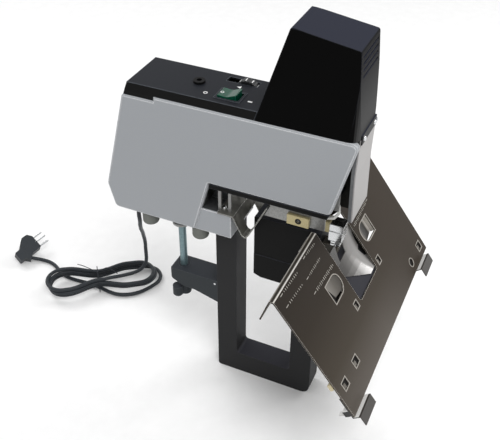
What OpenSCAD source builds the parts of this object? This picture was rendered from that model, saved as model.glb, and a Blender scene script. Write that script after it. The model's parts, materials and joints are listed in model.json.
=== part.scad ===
// Electric saddle stapler on a U-shaped stand frame.
// Millimetres, +Z up, the operator stands at -Y. The origin is the middle of the frame's foot, on the
// floor.

/* [Stand frame] */
// Width of the stand frame
frame_w = 33; // [28:0.5:36]
// Length of the frame's foot, front to rear
frame_len = 145; // [130:1:165]
// Thickness of the rear leg
rear_leg_t = 30; // [24:0.5:34]
// Thickness of the front leg
front_leg_t = 32; // [26:0.5:38]
// Height of the foot bar
foot_h = 37; // [28:0.5:46]
// Height of the top of the front leg
front_leg_z = 200; // [180:1:215]
// Radius of the foot's front corner
foot_r = 13; // [6:0.5:18]
// Radius inside the U
inner_r = 5; // [2:0.5:10]

/* [Table clamp] */
// Length of the clamp arm behind the rear leg
arm_len = 74.5; // [68:0.5:85]
// Height of the top of the clamp arm
arm_z = 167; // [155:1:180]
// Depth of the arm where it meets the leg
arm_root_h = 39; // [34:0.5:45]
// Depth of the arm at its end
arm_tip_h = 18; // [15:0.5:24]
// Distance of the spindle behind the rear leg
spindle_off = 60; // [54:0.5:64]
// Diameter of the clamp spindle
spindle_d = 10.5; // [10:0.5:12]
// Height of the top of the clamp pad
pad_z = 246; // [238:1:248]
// Diameter of the clamp pad
pad_d = 26; // [20:1:32]
// Thickness of the clamp pad
pad_t = 6; // [5:0.5:8]
// Distance of the wing knob's lobes from its axis
knob_reach = 13.5; // [11:0.5:18]
// Height of the wing knob
knob_h = 21.5; // [18:0.5:26]
// Drop from the underside of the pad to the top of the knob
knob_drop = 104.5; // [103.5:0.5:110]

/* [Body] */
// Width of the body over its side covers
body_w = 77; // [74:0.5:84]
// Height of the underside of the body
body_z = 270; // [262:1:280]
// Height of the underside of the head
head_z = 348.5; // [345:0.5:356]
// Height of the top edge of the side covers
cover_z = 452.5; // [445:0.5:465]
// Height of the control panel
panel_z = 464; // [458:0.5:470]
// Thickness of the cover walls
cover_t = 2.2; // [1.5:0.1:3]
// Width of the bevel round a side cover
cover_bevel = 2; // [1:0.1:2.1]
// Drop of the cover's top edge at the rear
rear_step = 5.5; // [2:0.5:8]
// Length of the body behind the rear leg
body_tail = 148; // [140:1:160]
// Height of the walls of the base pan
pan_h = 35; // [28:0.5:40]
// Thickness of the base pan's sheet
pan_t = 2.5; // [2:0.1:3]
// Height of the black trim under the head
trim_h = 6.5; // [4:0.5:8]
// Inset of the panel's edge from the covers
panel_inset = 3.5; // [2:0.5:6]

/* [Head tower] */
// Height of the tower's rear top edge
tower_z = 570; // [550:1:585]
// Fall of the tower's top towards the front
tower_fall = 11.5; // [4:0.5:16]
// Length of the tower at its top
tower_top_len = 78; // [72:1:88]
// Lean of the tower's front over its height
tower_lean = 10; // [6:0.5:14]
// Narrowing of the tower on each side
tower_taper = 7.5; // [4:0.5:9]
// Wall of the tower
tower_t = 2.5; // [2:0.1:3]
// Number of cooling slots in the tower's front
slot_n = 4; // [2:1:5]
// Spacing of the cooling slots
slot_pitch = 7.5; // [6:0.5:9]

/* [Stapling line] */
// Distance of the stapling line behind the front leg's front face
staple_in = 4; // [2:0.5:8]
// Height of the saddle's crest and the anvil's top
crest_z = 315; // [310:0.5:317]
// Gap between the nose and the anvil
paper_gap = 11; // [9:0.5:14]
// Width of the driver blade
blade_w = 13; // [11:0.5:14]
// Thickness of the driver blade
blade_t = 1.2; // [0.8:0.1:1.6]
// Diameter of the solenoid plunger
plunger_d = 18; // [14:0.5:20]
// Length of the magazine behind the nose
magazine_len = 112; // [95:1:120]
// Width of the magazine channel
magazine_w = 18; // [16:0.5:20]

/* [Saddle table] */
// Width of the saddle table
table_w = 333; // [300:1:350]
// Length of the front plate down its slope
table_len = 174; // [165:1:190]
// Slope of the front plate below level
table_tilt = 52.8; // [48:0.2:56]
// Thickness of the table's sheet
table_t = 2; // [1.5:0.1:2.5]
// Width of the flat strip along the crest
crest_w = 6; // [4:0.5:8]
// Height of the rear flap
flap_h = 31; // [24:0.5:34]
// Run of the rear flap
flap_run = 11; // [8:0.5:14]
// Width of the cut-out round the anvil
cut_w = 69; // [69:0.5:74]
// Distance down the slope to the cut-out's lower edge
cut_len = 108; // [100:1:114]
// Diameter of the table's hinge shaft
hinge_d = 8; // [6:0.5:9]
// Width of a finger pocket across the plate
pocket_w = 33; // [28:0.5:34]
// Length of a finger pocket down the slope
pocket_h = 26; // [25:0.5:30]
// Distance of the pockets from the middle
pocket_x = 61.5; // [60:0.5:64]
// Distance of the pockets down the slope
pocket_s = 63; // [58:0.5:68]
// Width of a paper stop
stop_w = 37; // [30:0.5:44]
// Distance of the near paper stop from the middle
stop_near_x = 148.5; // [120:0.5:149]
// Distance of the far paper stop from the middle
stop_far_x = 131; // [120:0.5:149]
// Height of a paper stop's wall above the plate
stop_h = 8; // [6:0.5:10]
// Reach of a paper stop's flap past the plate's edge
stop_reach = 14; // [10:0.5:18]

/* [Anvil housing] */
// Height of the anvil housing above the front leg
housing_h = 100; // [95:0.5:100]
// Height of the housing's lower half
housing_base_h = 38; // [30:0.5:45]
// Reach of the housing behind the front leg's front face
housing_len = 90; // [84:0.5:92]
// Wall of the housing
housing_t = 3; // [2.5:0.1:4]
// Width of the anvil die
die_w = 16; // [14:0.5:20]

/* [Controls] */
// Width of the rocker switch's opening
rocker_w = 22; // [18:0.5:24]
// Length of the rocker switch's opening
rocker_len = 30; // [26:0.5:32]
// Diameter of the power wheel
wheel_d = 32; // [28:1:34]
// Width of the power wheel
wheel_w = 9; // [7:0.5:9.5]
// Diameter of the pedal socket's bore
socket_d = 6.5; // [6:0.1:7]

/* [Cord] */
// Diameter of the mains cord
cord_d = 6; // [5.5:0.1:7]
// Number of turns in the hank
hank_turns = 3; // [2:1:3]

/* [Fits] */
// Radial clearance of a pin or shaft that turns or slides
run_fit = 0.05; // [0.02:0.01:0.1]
// Side clearance of a piece that slides in a channel
slide_fit = 0.3; // [0.2:0.05:0.4]
// Gap between neighbouring covers
seam = 0.3; // [0.1:0.05:0.4]

/* [Hidden] */
$fn = 48;

// The two lines that the rest hangs on: the rear leg's rear face and the stapling line.
rear_y = frame_len / 2;
front_y = -frame_len / 2;
staple_y = front_y + staple_in;
half_w = body_w / 2;

// Chassis plates, which the covers' rims touch and which carry the head's parts.
plate_x = half_w - 8.5;
plate_t = 3;
plate_in = plate_x - plate_t;
rail_z = head_z - 31;

// Outline of a side cover, front top corner first.
cover_front = staple_y - 46;
cover_low_front = staple_y - 19.5;
cover_outline = [[cover_front, cover_z, 7], [cover_low_front, head_z, 7], [rear_y - 2, head_z, 0],
    [rear_y + 20, body_z, 3], [rear_y + body_tail - 9, body_z, 7],
    [rear_y + body_tail, body_z + 36, 10], [rear_y + body_tail - 36, cover_z - rear_step, 4],
    [rear_y + 69, cover_z - rear_step, 0], [rear_y + 68, cover_z, 0]];
// Place of the notch's corner among the points of the rounded outline.
cover_hub = 12;

// Base pan.
pan_half = half_w - cover_t - 0.4;
pan_y0 = rear_y - 31;
pan_y1 = rear_y + body_tail - 11;
pan_top = body_z + pan_h;
gland_y = rear_y + 128.5;
gland_r = 5;
gland_len = 22;
gland_seat = 17;

// Tower: its rear face leans forward from the panel.
tower_rear = staple_y + 79.5;
tower_front_top = cover_front + tower_lean;
tower_base = cover_front + 2.5;
tower_r = 14;
// Set-back of the black covers from the side covers' faces, which leaves the side covers' bevel in sight.
set_back = 1.8;
tower_rear_top = tower_front_top + tower_top_len;
tower_slope = (tower_rear - tower_rear_top) / (tower_z - cover_z);
function tower_back(z) = tower_rear - (z - cover_z) * tower_slope;

// Nose, magazine and drive.
nose_z = crest_z + paper_gap;
nose_w = 22;
nose_half = 8.5;
guide_z = nose_z + 26;
guide_h = 48;
slot_w = blade_w + 2 * slide_fit;
slot_t = blade_t + 2 * 0.2;
strip_w = blade_w - 0.4;
strip_h = 8;
strip_len = 36;
magazine_z = nose_z + 4;
magazine_t = 1.5;
yoke_z = cover_z + 18;
yoke_h = 65;
yoke_t = 5;
yoke_half = 27;
carrier_z = guide_z + guide_h + 30;
shaft_y = staple_y + 20.8;
shaft_z = rail_z + 8;
shaft_r = 3;
block_h = 14;

// Saddle table: the crest's front edge, and a hinge line that brings the plate level with the anvil.
crest_y = staple_y - crest_w / 2;
housing_top = front_leg_z + housing_h;
hinge_z = housing_top - 12;
hinge_y = crest_y + (1 - cos(table_tilt)) / sin(table_tilt) * (crest_z - hinge_z);
ear_x = cut_w / 2 + 3;
ear_t = 4;
flap_y = crest_y + crest_w + flap_run;
shield_gap = 4;
// How far the shield reaches under the plate beside its cut.
shield_lap = 9;
// Length of the plate's seat below its cut, which ends clear of the rear bar.
seat_len = 11;
bar_s = 126;
// Windows and a round hole in the front plate, across it and down its slope.
windows = [[-109, -140], [-147, -140], [150.5, -159]];
large_window = [12, 10.5];
hook_window = [-46.8, -104];
small_window = [8.5, 9.5];
round_hole = [111, -159];
hole_d = 11;

// Controls on the panel.
panel_mid = rear_y - 22;
rocker_x = -14.5;
socket_y = rear_y + 25.5;
wheel_x = 22.5;
wheel_y = panel_mid - 6;
wheel_z = panel_z + 4 - wheel_d / 2;
window_w = wheel_w + 2;
window_len = 40;
axle_r = 2;
rib_t = 2;

// Throat guide: the bends of its profile, from its seat on the pan to its free edge.
guide_t = 1.5;
guide_half = half_w - 1.5;
guide_path = [[pan_y0 + 18.5, pan_top + guide_t / 2], [pan_y0 - 3, pan_top + guide_t / 2],
    [pan_y0 - 16, pan_top - 25], [pan_y0 - 20.5, pan_top - 27], [pan_y0 - 25, pan_top - 21],
    [pan_y0 - 48.5, pan_top + 28]];

// Cord: the hank's middle, the way it lies, its turns and the drawing-in at its waist.
hank_mid = [60, 325];
hank_turn = -53;
hank_r = 26;
hank_draw = 13;
hank_waist = -8;
hank_waist_half = 50;
tie_t = 1.2;
hank_low = cord_d / 2 + tie_t + 0.3;
hank_rise = cord_d + 0.9;
// Routes: the drop from the gland, the hank's first and last runs on its own axes, the tail to the plug.
drop_route = [[1, 202, 231], [5, 204, 217], [12, 209, 203], [23, 216, 189], [37, 225, 172], [51, 233, 155],
    [65, 241, 138], [77, 248, 121], [86.5, 253, 105], [92, 256, 90]];
first_run = [[74.2, -14, 68], [74, -13.9, 58], [72.2, -13.8, 47.7], [67, -13.5, 38.7], [59, -13.2, 32],
    [49.2, -13, 28.5], [38, -13, 26.8], [26, -13, 25.8], [12, -13, 25.3]];
last_run = [[68.5, -31], [53, -36.5], [37, -37.5], [20.5, -33.5], [6.5, -24], [-4, -13.5], [-14.5, -4.5]];
tail_route = [[47.4, 360, 4.4], [46.4, 374, 4.2], [47, 387, 3.9], [49.6, 399, 3.7], [53.8, 409, 3.5],
    [58.8, 417.5, 3.4], [63.4, 426, 3.3], [66.4, 434.5, 3.3], [67.4, 443, 3.4], [66.8, 451, 3.9],
    [64.8, 458.6, 5]];

// Plug: the middle of its pin row, and the way its pins, its row and its thickness point.
plug_mid = [84, 478, 22.2];
plug_yaw = -17.7;
plug_pitch = -8;
plug_roll = 33;
pin_d = 4;
pin_len = 19;
pin_gap = 9.5;
plug_t = 16;
plug_outline = [[0, -11, 1], [-6, -19, 3], [-17, -19, 3], [-29, -9, 4], [-31, -5, 2], [-43, -4, 2],
    [-43, 14, 2], [-34, 13.7, 2], [-27.6, 21.2], [-20.4, 14.8], [-18.6, 13.3], [0, 13, 2]];
// The slanted face where the cord enters: its middle, and the lean of its normal towards the pins.
entry_at = [-24, -18, 0];
entry_lean = 42;

// Helpers

function unit(v) = v / norm(v);
function xy(p) = [p[0], p[1]];

// Points of one corner at b between a and c, rounded to radius r.
function corner(a, b, c, r, n) = r <= 0 ? [b] :
    let (u = unit(a - b), v = unit(c - b), h = acos(u * v) / 2, o = b + unit(u + v) * r / sin(h),
         p = b + u * r / tan(h) - o, q = b + v * r / tan(h) - o,
         a0 = atan2(p[1], p[0]), d = atan2(p[0] * q[1] - p[1] * q[0], p * q))
    [for (i = [0 : n]) o + r * [cos(a0 + d * i / n), sin(a0 + d * i / n)]];

// An outline of [x, y, radius] points with its corners rounded.
function rounded(pts, n = 5) = let (k = len(pts))
    [for (i = [0 : k - 1]) each corner(xy(pts[(i + k - 1) % k]), xy(pts[i]), xy(pts[(i + 1) % k]),
        pts[i][2] == undef ? 0 : pts[i][2], n)];

// An anticlockwise outline moved inwards by d.
function inset(pts, d) = let (k = len(pts))
    [for (i = [0 : k - 1]) let (a = pts[(i + k - 1) % k], b = pts[i], c = pts[(i + 1) % k],
        u = unit(b - a), v = unit(c - b), m = [-u[1], u[0]], n = [-v[1], v[0]])
        b + (m + n) * d / (1 + m * n)];

// A strip of thickness t along an open path of points.
function band(path, t) = let (k = len(path),
    n = [for (i = [0 : k - 2]) let (u = unit(path[i + 1] - path[i])) [-u[1], u[0]]],
    off = [for (i = [0 : k - 1]) let (m = n[max(0, i - 1)], q = n[min(k - 2, i)]) (m + q) / (1 + m * q)])
    concat([for (i = [0 : k - 1]) path[i] + off[i] * t / 2],
           [for (i = [k - 1 : -1 : 0]) path[i] - off[i] * t / 2]);

// A (y, z) outline between two values of x.
module slab_yz(pts, x0, x1) {
    translate([x0, 0, 0]) rotate([90, 0, 90]) linear_extrude(x1 - x0) polygon(pts);
}

// An (x, z) outline between two values of y.
module slab_xz(pts, y0, y1) {
    translate([0, y1, 0]) rotate([90, 0, 0]) linear_extrude(y1 - y0) polygon(pts);
}

// A block given by its lowest and highest corners.
module block(a, b) {
    translate(a) cube(b - a);
}

// A cylinder along X.
module bar_x(x0, x1, y, z, r) {
    translate([x0, y, z]) rotate([0, 90, 0]) cylinder(h = x1 - x0, r = r);
}

// A (y, z) outline from x0 to x1 whose face at x0 has a bevel c. Every point is in sight of point hub.
module bevel_slab(pts, x0, x1, c, hub) {
    k = len(pts);
    small = inset(pts, c);
    ring = [for (p = small) [x0, p[0], p[1]], for (p = pts) [x0 + c, p[0], p[1]],
        for (p = pts) [x1, p[0], p[1]]];
    side = [for (r = [0, 1], i = [0 : k - 1]) let (j = (i + 1) % k)
        [r * k + i, r * k + k + i, r * k + k + j, r * k + j]];
    fan = [for (i = [1 : k - 2]) [hub, (hub + i) % k, (hub + i + 1) % k]];
    back = [for (f = fan) [2 * k + f[0], 2 * k + f[2], 2 * k + f[1]]];
    polyhedron(ring, concat(fan, side, back));
}

// A round tube swept along a route, its ends square to the route.
function turn_frame(t) = let (a = abs(t[2]) > 0.9 ? [1, 0, 0] : [0, 0, 1], s = unit(cross(a, t)))
    [s, cross(t, s)];
module sweep(route, d, sides) {
    k = len(route);
    dirs = [for (i = [0 : k - 1]) unit(route[min(k - 1, i + 1)] - route[max(0, i - 1)])];
    pts = [for (i = [0 : k - 1]) let (f = turn_frame(dirs[i])) for (j = [0 : sides - 1])
        route[i] + d / 2 * (cos(360 * j / sides) * f[0] + sin(360 * j / sides) * f[1])];
    walls = [for (i = [0 : k - 2], j = [0 : sides - 1]) let (a = i * sides + j,
        b = i * sides + (j + 1) % sides)
        each [[a, a + sides, b], [b, a + sides, b + sides]]];
    caps = [for (j = [1 : sides - 2]) each [[0, j, j + 1],
        [(k - 1) * sides, (k - 1) * sides + j + 1, (k - 1) * sides + j]]];
    polyhedron(pts, concat(walls, caps));
}

// A smooth curve through route points, n steps to a stretch.
function smooth(p, n) = let (k = len(p)) concat([for (i = [0 : k - 2], s = [0 : n - 1])
    let (t = s / n, a = p[max(0, i - 1)], b = p[i], c = p[i + 1], d = p[min(k - 1, i + 2)])
    0.5 * (2 * b + (c - a) * t + (2 * a - 5 * b + 4 * c - d) * t * t
        + (3 * b - a - 3 * c + d) * t * t * t)], [p[k - 1]]);

// Places a piece drawn on the level so that its y = 0 edge lies on the crest and -y runs down the slope.
module on_slope() {
    translate([0, crest_y, crest_z]) rotate([table_tilt, 0, 0]) children();
}

// Stand and clamp

module frame() {
    lug_y = rear_y + 17;
    color("#2b2c2e") difference() {
        union() {
            slab_yz(rounded([[rear_y, 0, 4], [rear_y, body_z], [rear_y - rear_leg_t, body_z],
                [rear_y - rear_leg_t, foot_h, inner_r], [front_y + front_leg_t, foot_h, inner_r],
                [front_y + front_leg_t, front_leg_z], [front_y, front_leg_z], [front_y, 0, foot_r]]),
                -frame_w / 2, frame_w / 2);
            block([-8, rear_y, arm_z - arm_root_h + 9], [8, lug_y, arm_z - 2.5]);
        }
        for (s = [-1, 1]) translate([0, bolt_y(s), body_z - 24]) cylinder(h = 25, r = bolt_r + run_fit);
        bar_x(-9, 9, pin_y, pin_z, arm_pin_r + 0.02);
    }
}
bolt_r = 4;
bolt_mid = (max(pan_y0 + pan_t, rear_y - rear_leg_t + 2) + rear_y) / 2;
function bolt_y(s) = bolt_mid + s * 7;
arm_pin_r = 1.6;
pin_z = arm_z - 5.5;
pin_y = rear_y + 3.5;
bush_r = 8.5;

module clamp_arm() {
    tip = rear_y + arm_len;
    color("#26272a") difference() {
        intersection() {
            slab_yz(rounded([[rear_y, arm_z - arm_root_h], [rear_y + 36, arm_z - 29, 10],
                [rear_y + spindle_off - 4, arm_z - 28, 5], [tip, arm_z - arm_tip_h, 5], [tip, arm_z, 3],
                [rear_y, arm_z]]), -frame_w / 2, frame_w / 2);
            translate([0, 0, arm_z - arm_root_h - 5]) linear_extrude(arm_root_h + 10)
                polygon(rounded([[-frame_w / 2, rear_y - 1], [frame_w / 2, rear_y - 1],
                    [frame_w / 2, tip, 4], [-frame_w / 2, tip, 4]]));
        }
        block([-8 - seam, rear_y - 1, arm_z - arm_root_h + 9 - seam], [8 + seam, rear_y + 17 + seam,
            arm_z - 2.5 + seam]);
        bar_x(-frame_w, frame_w, pin_y, pin_z, arm_pin_r + 0.02);
        translate([0, rear_y + spindle_off, arm_z - arm_root_h - 5])
            cylinder(h = arm_root_h + 10, r = bush_r + 0.05);
    }
}

module arm_pin() {
    color("#c9ccd0") bar_x(-frame_w / 2 - 0.6, frame_w / 2 + 0.6, pin_y, pin_z, arm_pin_r);
}

// The threaded bush in the arm's eye.
module clamp_bush() {
    color("#2c2d30") translate([0, rear_y + spindle_off, arm_z - 24]) difference() {
        cylinder(h = 23.5, r = bush_r);
        translate([0, 0, -1]) cylinder(h = 26, d = spindle_d + 2 * run_fit);
    }
}

neck_d = spindle_d - 4;
module clamp_spindle() {
    color("#8fa0a6") translate([0, rear_y + spindle_off, 0]) {
        translate([0, 0, pad_z - pad_t - knob_drop - knob_h + 3])
            cylinder(h = knob_drop + knob_h - 3, d = spindle_d);
        translate([0, 0, pad_z - pad_t - 1]) cylinder(h = pad_t - 1, d = neck_d);
    }
}

// A wing knob: a hub and two round lobes.
module clamp_knob() {
    low = pad_z - pad_t - knob_drop - knob_h;
    color("#1f2022") translate([0, rear_y + spindle_off, low]) difference() {
        union() {
            cylinder(h = knob_h, d = spindle_d + 6.5);
            for (a = [155, -25]) rotate(a) {
                translate([knob_reach, 0, 3]) cylinder(h = knob_h - 6.5, r = 7.5);
                translate([knob_reach, 0, 0]) cylinder(h = 3, r1 = 5, r2 = 7.5);
                translate([0, -5, 1]) cube([knob_reach, 10, knob_h - 6]);
            }
        }
        translate([0, 0, 3]) cylinder(h = knob_h, d = spindle_d + 0.02);
    }
}

module clamp_pad() {
    color("#3a3c40") translate([0, rear_y + spindle_off, pad_z - pad_t]) difference() {
        rotate_extrude() polygon([[0, 0], [pad_d / 2 - 3, 0], [pad_d / 2, 2], [pad_d / 2, pad_t - 1],
            [pad_d / 2 - 1, pad_t], [0, pad_t]]);
        translate([0, 0, -1]) cylinder(h = pad_t - 0.7, d = neck_d + 2 * run_fit);
    }
}

// Body

module base_pan() {
    color("#9b9da0") difference() {
        union() {
            difference() {
                block([-pan_half, pan_y0, body_z], [pan_half, pan_y1, pan_top]);
                block([-pan_half + pan_t, pan_y0 + pan_t, body_z + pan_t], [pan_half - pan_t,
                    pan_y1 - pan_t,
                    pan_top + 1]);
            }
            for (s = [-1, 1]) block([min(s * (pan_half - pan_t), s * tab_x), pan_y0, pan_top - pan_t],
                [max(s * (pan_half - pan_t), s * tab_x), pan_y0 + 20, pan_top]);
        }
        for (s = [-1, 1]) translate([0, bolt_y(s), body_z - 1]) cylinder(h = pan_t + 2,
            r = bolt_r + run_fit);
        translate([0, gland_y, body_z - 1]) cylinder(h = pan_t + 2, r = gland_r);
        for (s = [-1, 1], y = tab_bolts) translate([s * tab_bolt_x, y, pan_top - 9]) cylinder(h = 12,
            r = 2 + 0.02);
    }
}
tab_x = plate_in - 8;
tab_bolt_x = plate_in - 3;
tab_bolts = [pan_y0 + 7, pan_y0 + 14];

module frame_bolts() {
    color("#b8bbbf") for (s = [-1, 1]) translate([0, bolt_y(s), body_z]) {
        translate([0, 0, -20]) cylinder(h = 20 + pan_t, r = bolt_r);
        translate([0, 0, pan_t]) cylinder(h = 5.5, r = 7, $fn = 6);
    }
}

module side_cover() {
    pts = rounded(cover_outline);
    difference() {
        bevel_slab(pts, -half_w, -plate_x, cover_bevel, cover_hub);
        slab_yz(inset(pts, cover_t), -half_w + cover_t, 1 - plate_x);
        block([-pan_half - 0.2, pan_y0, body_z - 1], [0, pan_y1 + seam, pan_top + seam]);
    }
}

module left_cover() {
    color("#9c9ea1") side_cover();
}

module right_cover() {
    color("#9c9ea1") mirror([1, 0, 0]) side_cover();
}

// The sheet that closes the body's rear between the side covers.
module rear_cover() {
    d = cover_t / 2;
    low = [rear_y + body_tail - 7.5 - d, body_z + 6];
    bend = [rear_y + body_tail - d, body_z + 36];
    top = [rear_y + body_tail - 36 - d + 0.1, cover_z - rear_step - 0.4];
    color("#9c9ea1") slab_yz(band([low, bend, top], cover_t - 0.4), -plate_x, plate_x);
}

// The panel cover's shape, shrunk by d inside its walls.
module panel_shape(d) {
    low = d > 0 ? 12 : 0;
    edge = half_w - set_back - d;
    intersection() {
        slab_yz([[tower_back(cover_z) + seam + d, cover_z - low], [rear_y + 68 + d, cover_z - low],
            [rear_y + 69 + d, cover_z - rear_step - low], [rear_y + body_tail - 38 - d,
                cover_z - rear_step - low],
            [rear_y + body_tail - 43.5 - d, panel_z - d], [tower_back(panel_z) + seam + d, panel_z - d]],
            -half_w, half_w);
        slab_xz([[-edge, cover_z - 30], [edge, cover_z - 30], [edge, cover_z],
            [half_w - panel_inset - d, panel_z - d], [panel_inset - half_w + d, panel_z - d],
            [-edge, cover_z]], -300, 400);
    }
}

module top_cover() {
    color("#202124") difference() {
        union() {
            difference() {
                panel_shape(0);
                panel_shape(2.5);
            }
            for (s = [-1, 1]) slab_yz([[wheel_y - 6, panel_z - 2], [wheel_y - 4, wheel_z - 5],
                [wheel_y + 4, wheel_z - 5], [wheel_y + 6, panel_z - 2]],
                wheel_x + s * (window_w / 2 + rib_t / 2) - rib_t / 2,
                    wheel_x + s * (window_w / 2 + rib_t / 2) + rib_t / 2);
        }
        block([rocker_x - rocker_w / 2, panel_mid - rocker_len / 2, panel_z - 9],
            [rocker_x + rocker_w / 2, panel_mid + rocker_len / 2, panel_z + 1]);
        block([wheel_x - window_w / 2, panel_mid - window_len / 2, panel_z - 9],
            [wheel_x + window_w / 2, panel_mid + window_len / 2, panel_z + 1]);
        translate([0, socket_y, panel_z - 9]) cylinder(h = 12, r = socket_d / 2 + 2.5);
        bar_x(wheel_x - 20, wheel_x + 20, wheel_y, wheel_z, axle_r + 0.02);
    }
}

// The tower's shape, shrunk by d inside its walls.
module tower_shape(d) {
    low = d > 0 ? 5 : 0;
    r = d > 0 ? 1.5 : 3;
    top_half = half_w - tower_taper - d;
    low_half = half_w - set_back - d;
    intersection() {
        slab_yz(rounded([[tower_base + d, cover_z - low], [tower_back(cover_z) - d, cover_z - low],
            [tower_rear_top - d, tower_z - d, r], [tower_front_top + d, tower_z - tower_fall - d, r]]),
            -half_w, half_w);
        slab_xz(rounded([[-low_half, cover_z - low], [low_half, cover_z - low], [top_half, tower_z - d, r],
            [-top_half, tower_z - d, r]]), -300, 300);
        translate([0, 0, cover_z - low - 1]) linear_extrude(tower_z - cover_z + 10)
            polygon(rounded([[-low_half, tower_base + d, tower_r - d], [low_half, tower_base + d,
                tower_r - d],
                [low_half, tower_rear + 9], [-low_half, tower_rear + 9]], 8));
    }
}

lip_half = 26;
lip_t = 1.5;
screw_x = 19;
screw_z = cover_z - 0.7;
module head_cover() {
    color("#1d1e21") difference() {
        union() {
            difference() {
                tower_shape(0);
                tower_shape(tower_t);
            }
            block([-lip_half, tower_base - lip_t, cover_z - 6], [lip_half, tower_base, cover_z + 6]);
            block([-lip_half, tower_base, cover_z], [lip_half, tower_base + 2, cover_z + 6]);
        }
        for (i = [0 : slot_n - 1]) let (z = tower_z - tower_fall - 7 - i * slot_pitch)
            block([-26, tower_front_top - 8, z - 3.2], [26, tower_front_top + 8, z]);
        for (s = [-1, 1]) translate([s * screw_x, tower_base - lip_t - 1, screw_z]) rotate([-90, 0, 0])
            cylinder(h = lip_t + 6, r = 2 + 0.1);
    }
}

trim_x = plate_x + 0.4;
module lower_trim() {
    nose = cover_low_front + 1;
    color("#161719") difference() {
        slab_yz([[nose, head_z], [nose + 3, head_z - trim_h], [rear_y - 3, head_z - trim_h], [rear_y - 3,
            head_z]],
            -half_w + 0.5, half_w - 0.5);
        block([-trim_x, nose + 7, head_z - trim_h - 1], [trim_x, rear_y + 9, head_z + 1]);
    }
}

guard_t = 1.5;
guard_half = plate_x - 0.5;
guard_low = head_z - 7.5;
guard_knee = cover_z - 47;
// The guard: a sheet that hangs behind the tower's lip, with a slight fold at the knee.
module front_guard() {
    y0 = tower_base + guard_t / 2;
    color("#b9bdc2") difference() {
        union() {
            slab_yz(band([[y0, cover_z - 8], [y0 + 1, guard_knee], [y0 - 0.5, guard_low]], guard_t),
                -guard_half, guard_half);
            block([-lip_half, tower_base, cover_z - 10], [lip_half, tower_base + guard_t, cover_z]);
        }
        for (s = [-1, 1]) translate([s * screw_x, tower_base - 1, screw_z]) rotate([-90, 0, 0])
            cylinder(h = 12, r = 2 + 0.1);
    }
}

module guard_screws() {
    color("#d4d6d8") for (s = [-1, 1]) translate([s * screw_x, tower_base - lip_t,
        screw_z]) rotate([-90, 0, 0]) {
        cylinder(h = lip_t + guard_t, r = 2);
        translate([0, 0, -1.6]) cylinder(h = 1.6, r1 = 2.4, r2 = 3.2);
    }
}

// Head

// One side plate of the chassis: front edge, rail under the head, rear end on the pan's floor.
function chassis_outline() = [[staple_y - yoke_half, yoke_z + 30], [staple_y - yoke_half, head_z + 4],
    [staple_y - 11.5, head_z + 4], [staple_y - 11.5, rail_z], [rail_end(rail_z), rail_z],
    [rail_end(pan_top + 28), pan_top + 28], [rail_end(pan_top + 28), head_z + 2], [rear_y - 2, head_z + 2],
    [rear_y + 28, body_z + pan_t], [pan_y1 - 12, body_z + pan_t], [pan_y1 - 12, body_z + 90],
    [rear_y + 98, cover_z - 20],
    [staple_y + yoke_half, cover_z - 20], [staple_y + yoke_half, yoke_z + 30]];
function rail_end(z) = pan_y0 - 26.8 - (z - pan_top + 21) * 23.5 / 49;

module chassis() {
    color("#77797b") difference() {
        for (s = [-1, 1]) {
            slab_yz(chassis_outline(), s > 0 ? plate_in : -plate_x, s > 0 ? plate_x : -plate_in);
            for (y = [pan_y0 + 2, pan_y0 + 16]) block([s > 0 ? plate_in : -plate_x, y, pan_top + guide_t],
                [s > 0 ? plate_x : -plate_in, y + 4, head_z + 3]);
        }
        bar_x(-half_w, half_w, shaft_y, shaft_z, shaft_r + run_fit);
    }
}

// The round bars that hold the chassis plates apart.
module cross_bars() {
    color("#85878a") for (p = [[staple_y + 95, cover_z - 40], [rear_y + 40, cover_z - 40],
        [rear_y + 95, cover_z - 40], [rear_y + 110, head_z]]) bar_x(-plate_in, plate_in, p[0], p[1], 5);
}

block_t = 4.5;
module bearing_blocks() {
    color("#bfb38a") for (s = [-1, 1]) difference() {
        block([s > 0 ? plate_x : -plate_x - block_t, shaft_y - 13.3, shaft_z - block_h / 2],
            [s > 0 ? plate_x + block_t : -plate_x, shaft_y + 14.7, shaft_z + block_h / 2]);
        bar_x(-half_w, half_w, shaft_y, shaft_z, shaft_r + 0.02);
    }
}

module lever_shaft() {
    color("#3c3e41") bar_x(-plate_x - block_t + 1.5, plate_x + block_t - 1.5, shaft_y, shaft_z, shaft_r);
}

lever_x = -17;
lever_w = 4;
module trigger_lever() {
    tip = staple_y - 24;
    color("#e4e4e0") difference() {
        union() {
            slab_yz(band([[shaft_y, shaft_z], [staple_y - 4, nose_z + 1], [tip + 5, nose_z + 6], [tip,
                nose_z + 14],
                [tip + 1, nose_z + 25]], 3), lever_x - lever_w / 2, lever_x + lever_w / 2);
            bar_x(lever_x - 4, lever_x + 4, shaft_y, shaft_z, shaft_r + 3);
        }
        bar_x(lever_x - 9, lever_x + 9, shaft_y, shaft_z, shaft_r + run_fit);
    }
}

module blade_slot(z0, z1) {
    block([-slot_w / 2, staple_y - slot_t / 2, z0], [slot_w / 2, staple_y + slot_t / 2, z1]);
}

module driver_guide() {
    color("#8b8e92") difference() {
        block([-plate_in, staple_y - nose_half, guide_z], [plate_in, staple_y + nose_half,
            guide_z + guide_h]);
        blade_slot(guide_z - 1, guide_z + guide_h + 1);
    }
}

module nose_block() {
    color("#a9acb0") difference() {
        slab_yz([[staple_y - nose_half, nose_z + 3], [staple_y - nose_half + 4, nose_z],
            [staple_y + nose_half, nose_z],
            [staple_y + nose_half, guide_z], [staple_y - nose_half, guide_z]], -nose_w / 2, nose_w / 2);
        blade_slot(nose_z - 1, guide_z + 1);
        block([-slot_w / 2, staple_y, magazine_z + magazine_t], [slot_w / 2, staple_y + nose_half + 1,
            magazine_z + magazine_t + strip_h + 3]);
    }
}

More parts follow.
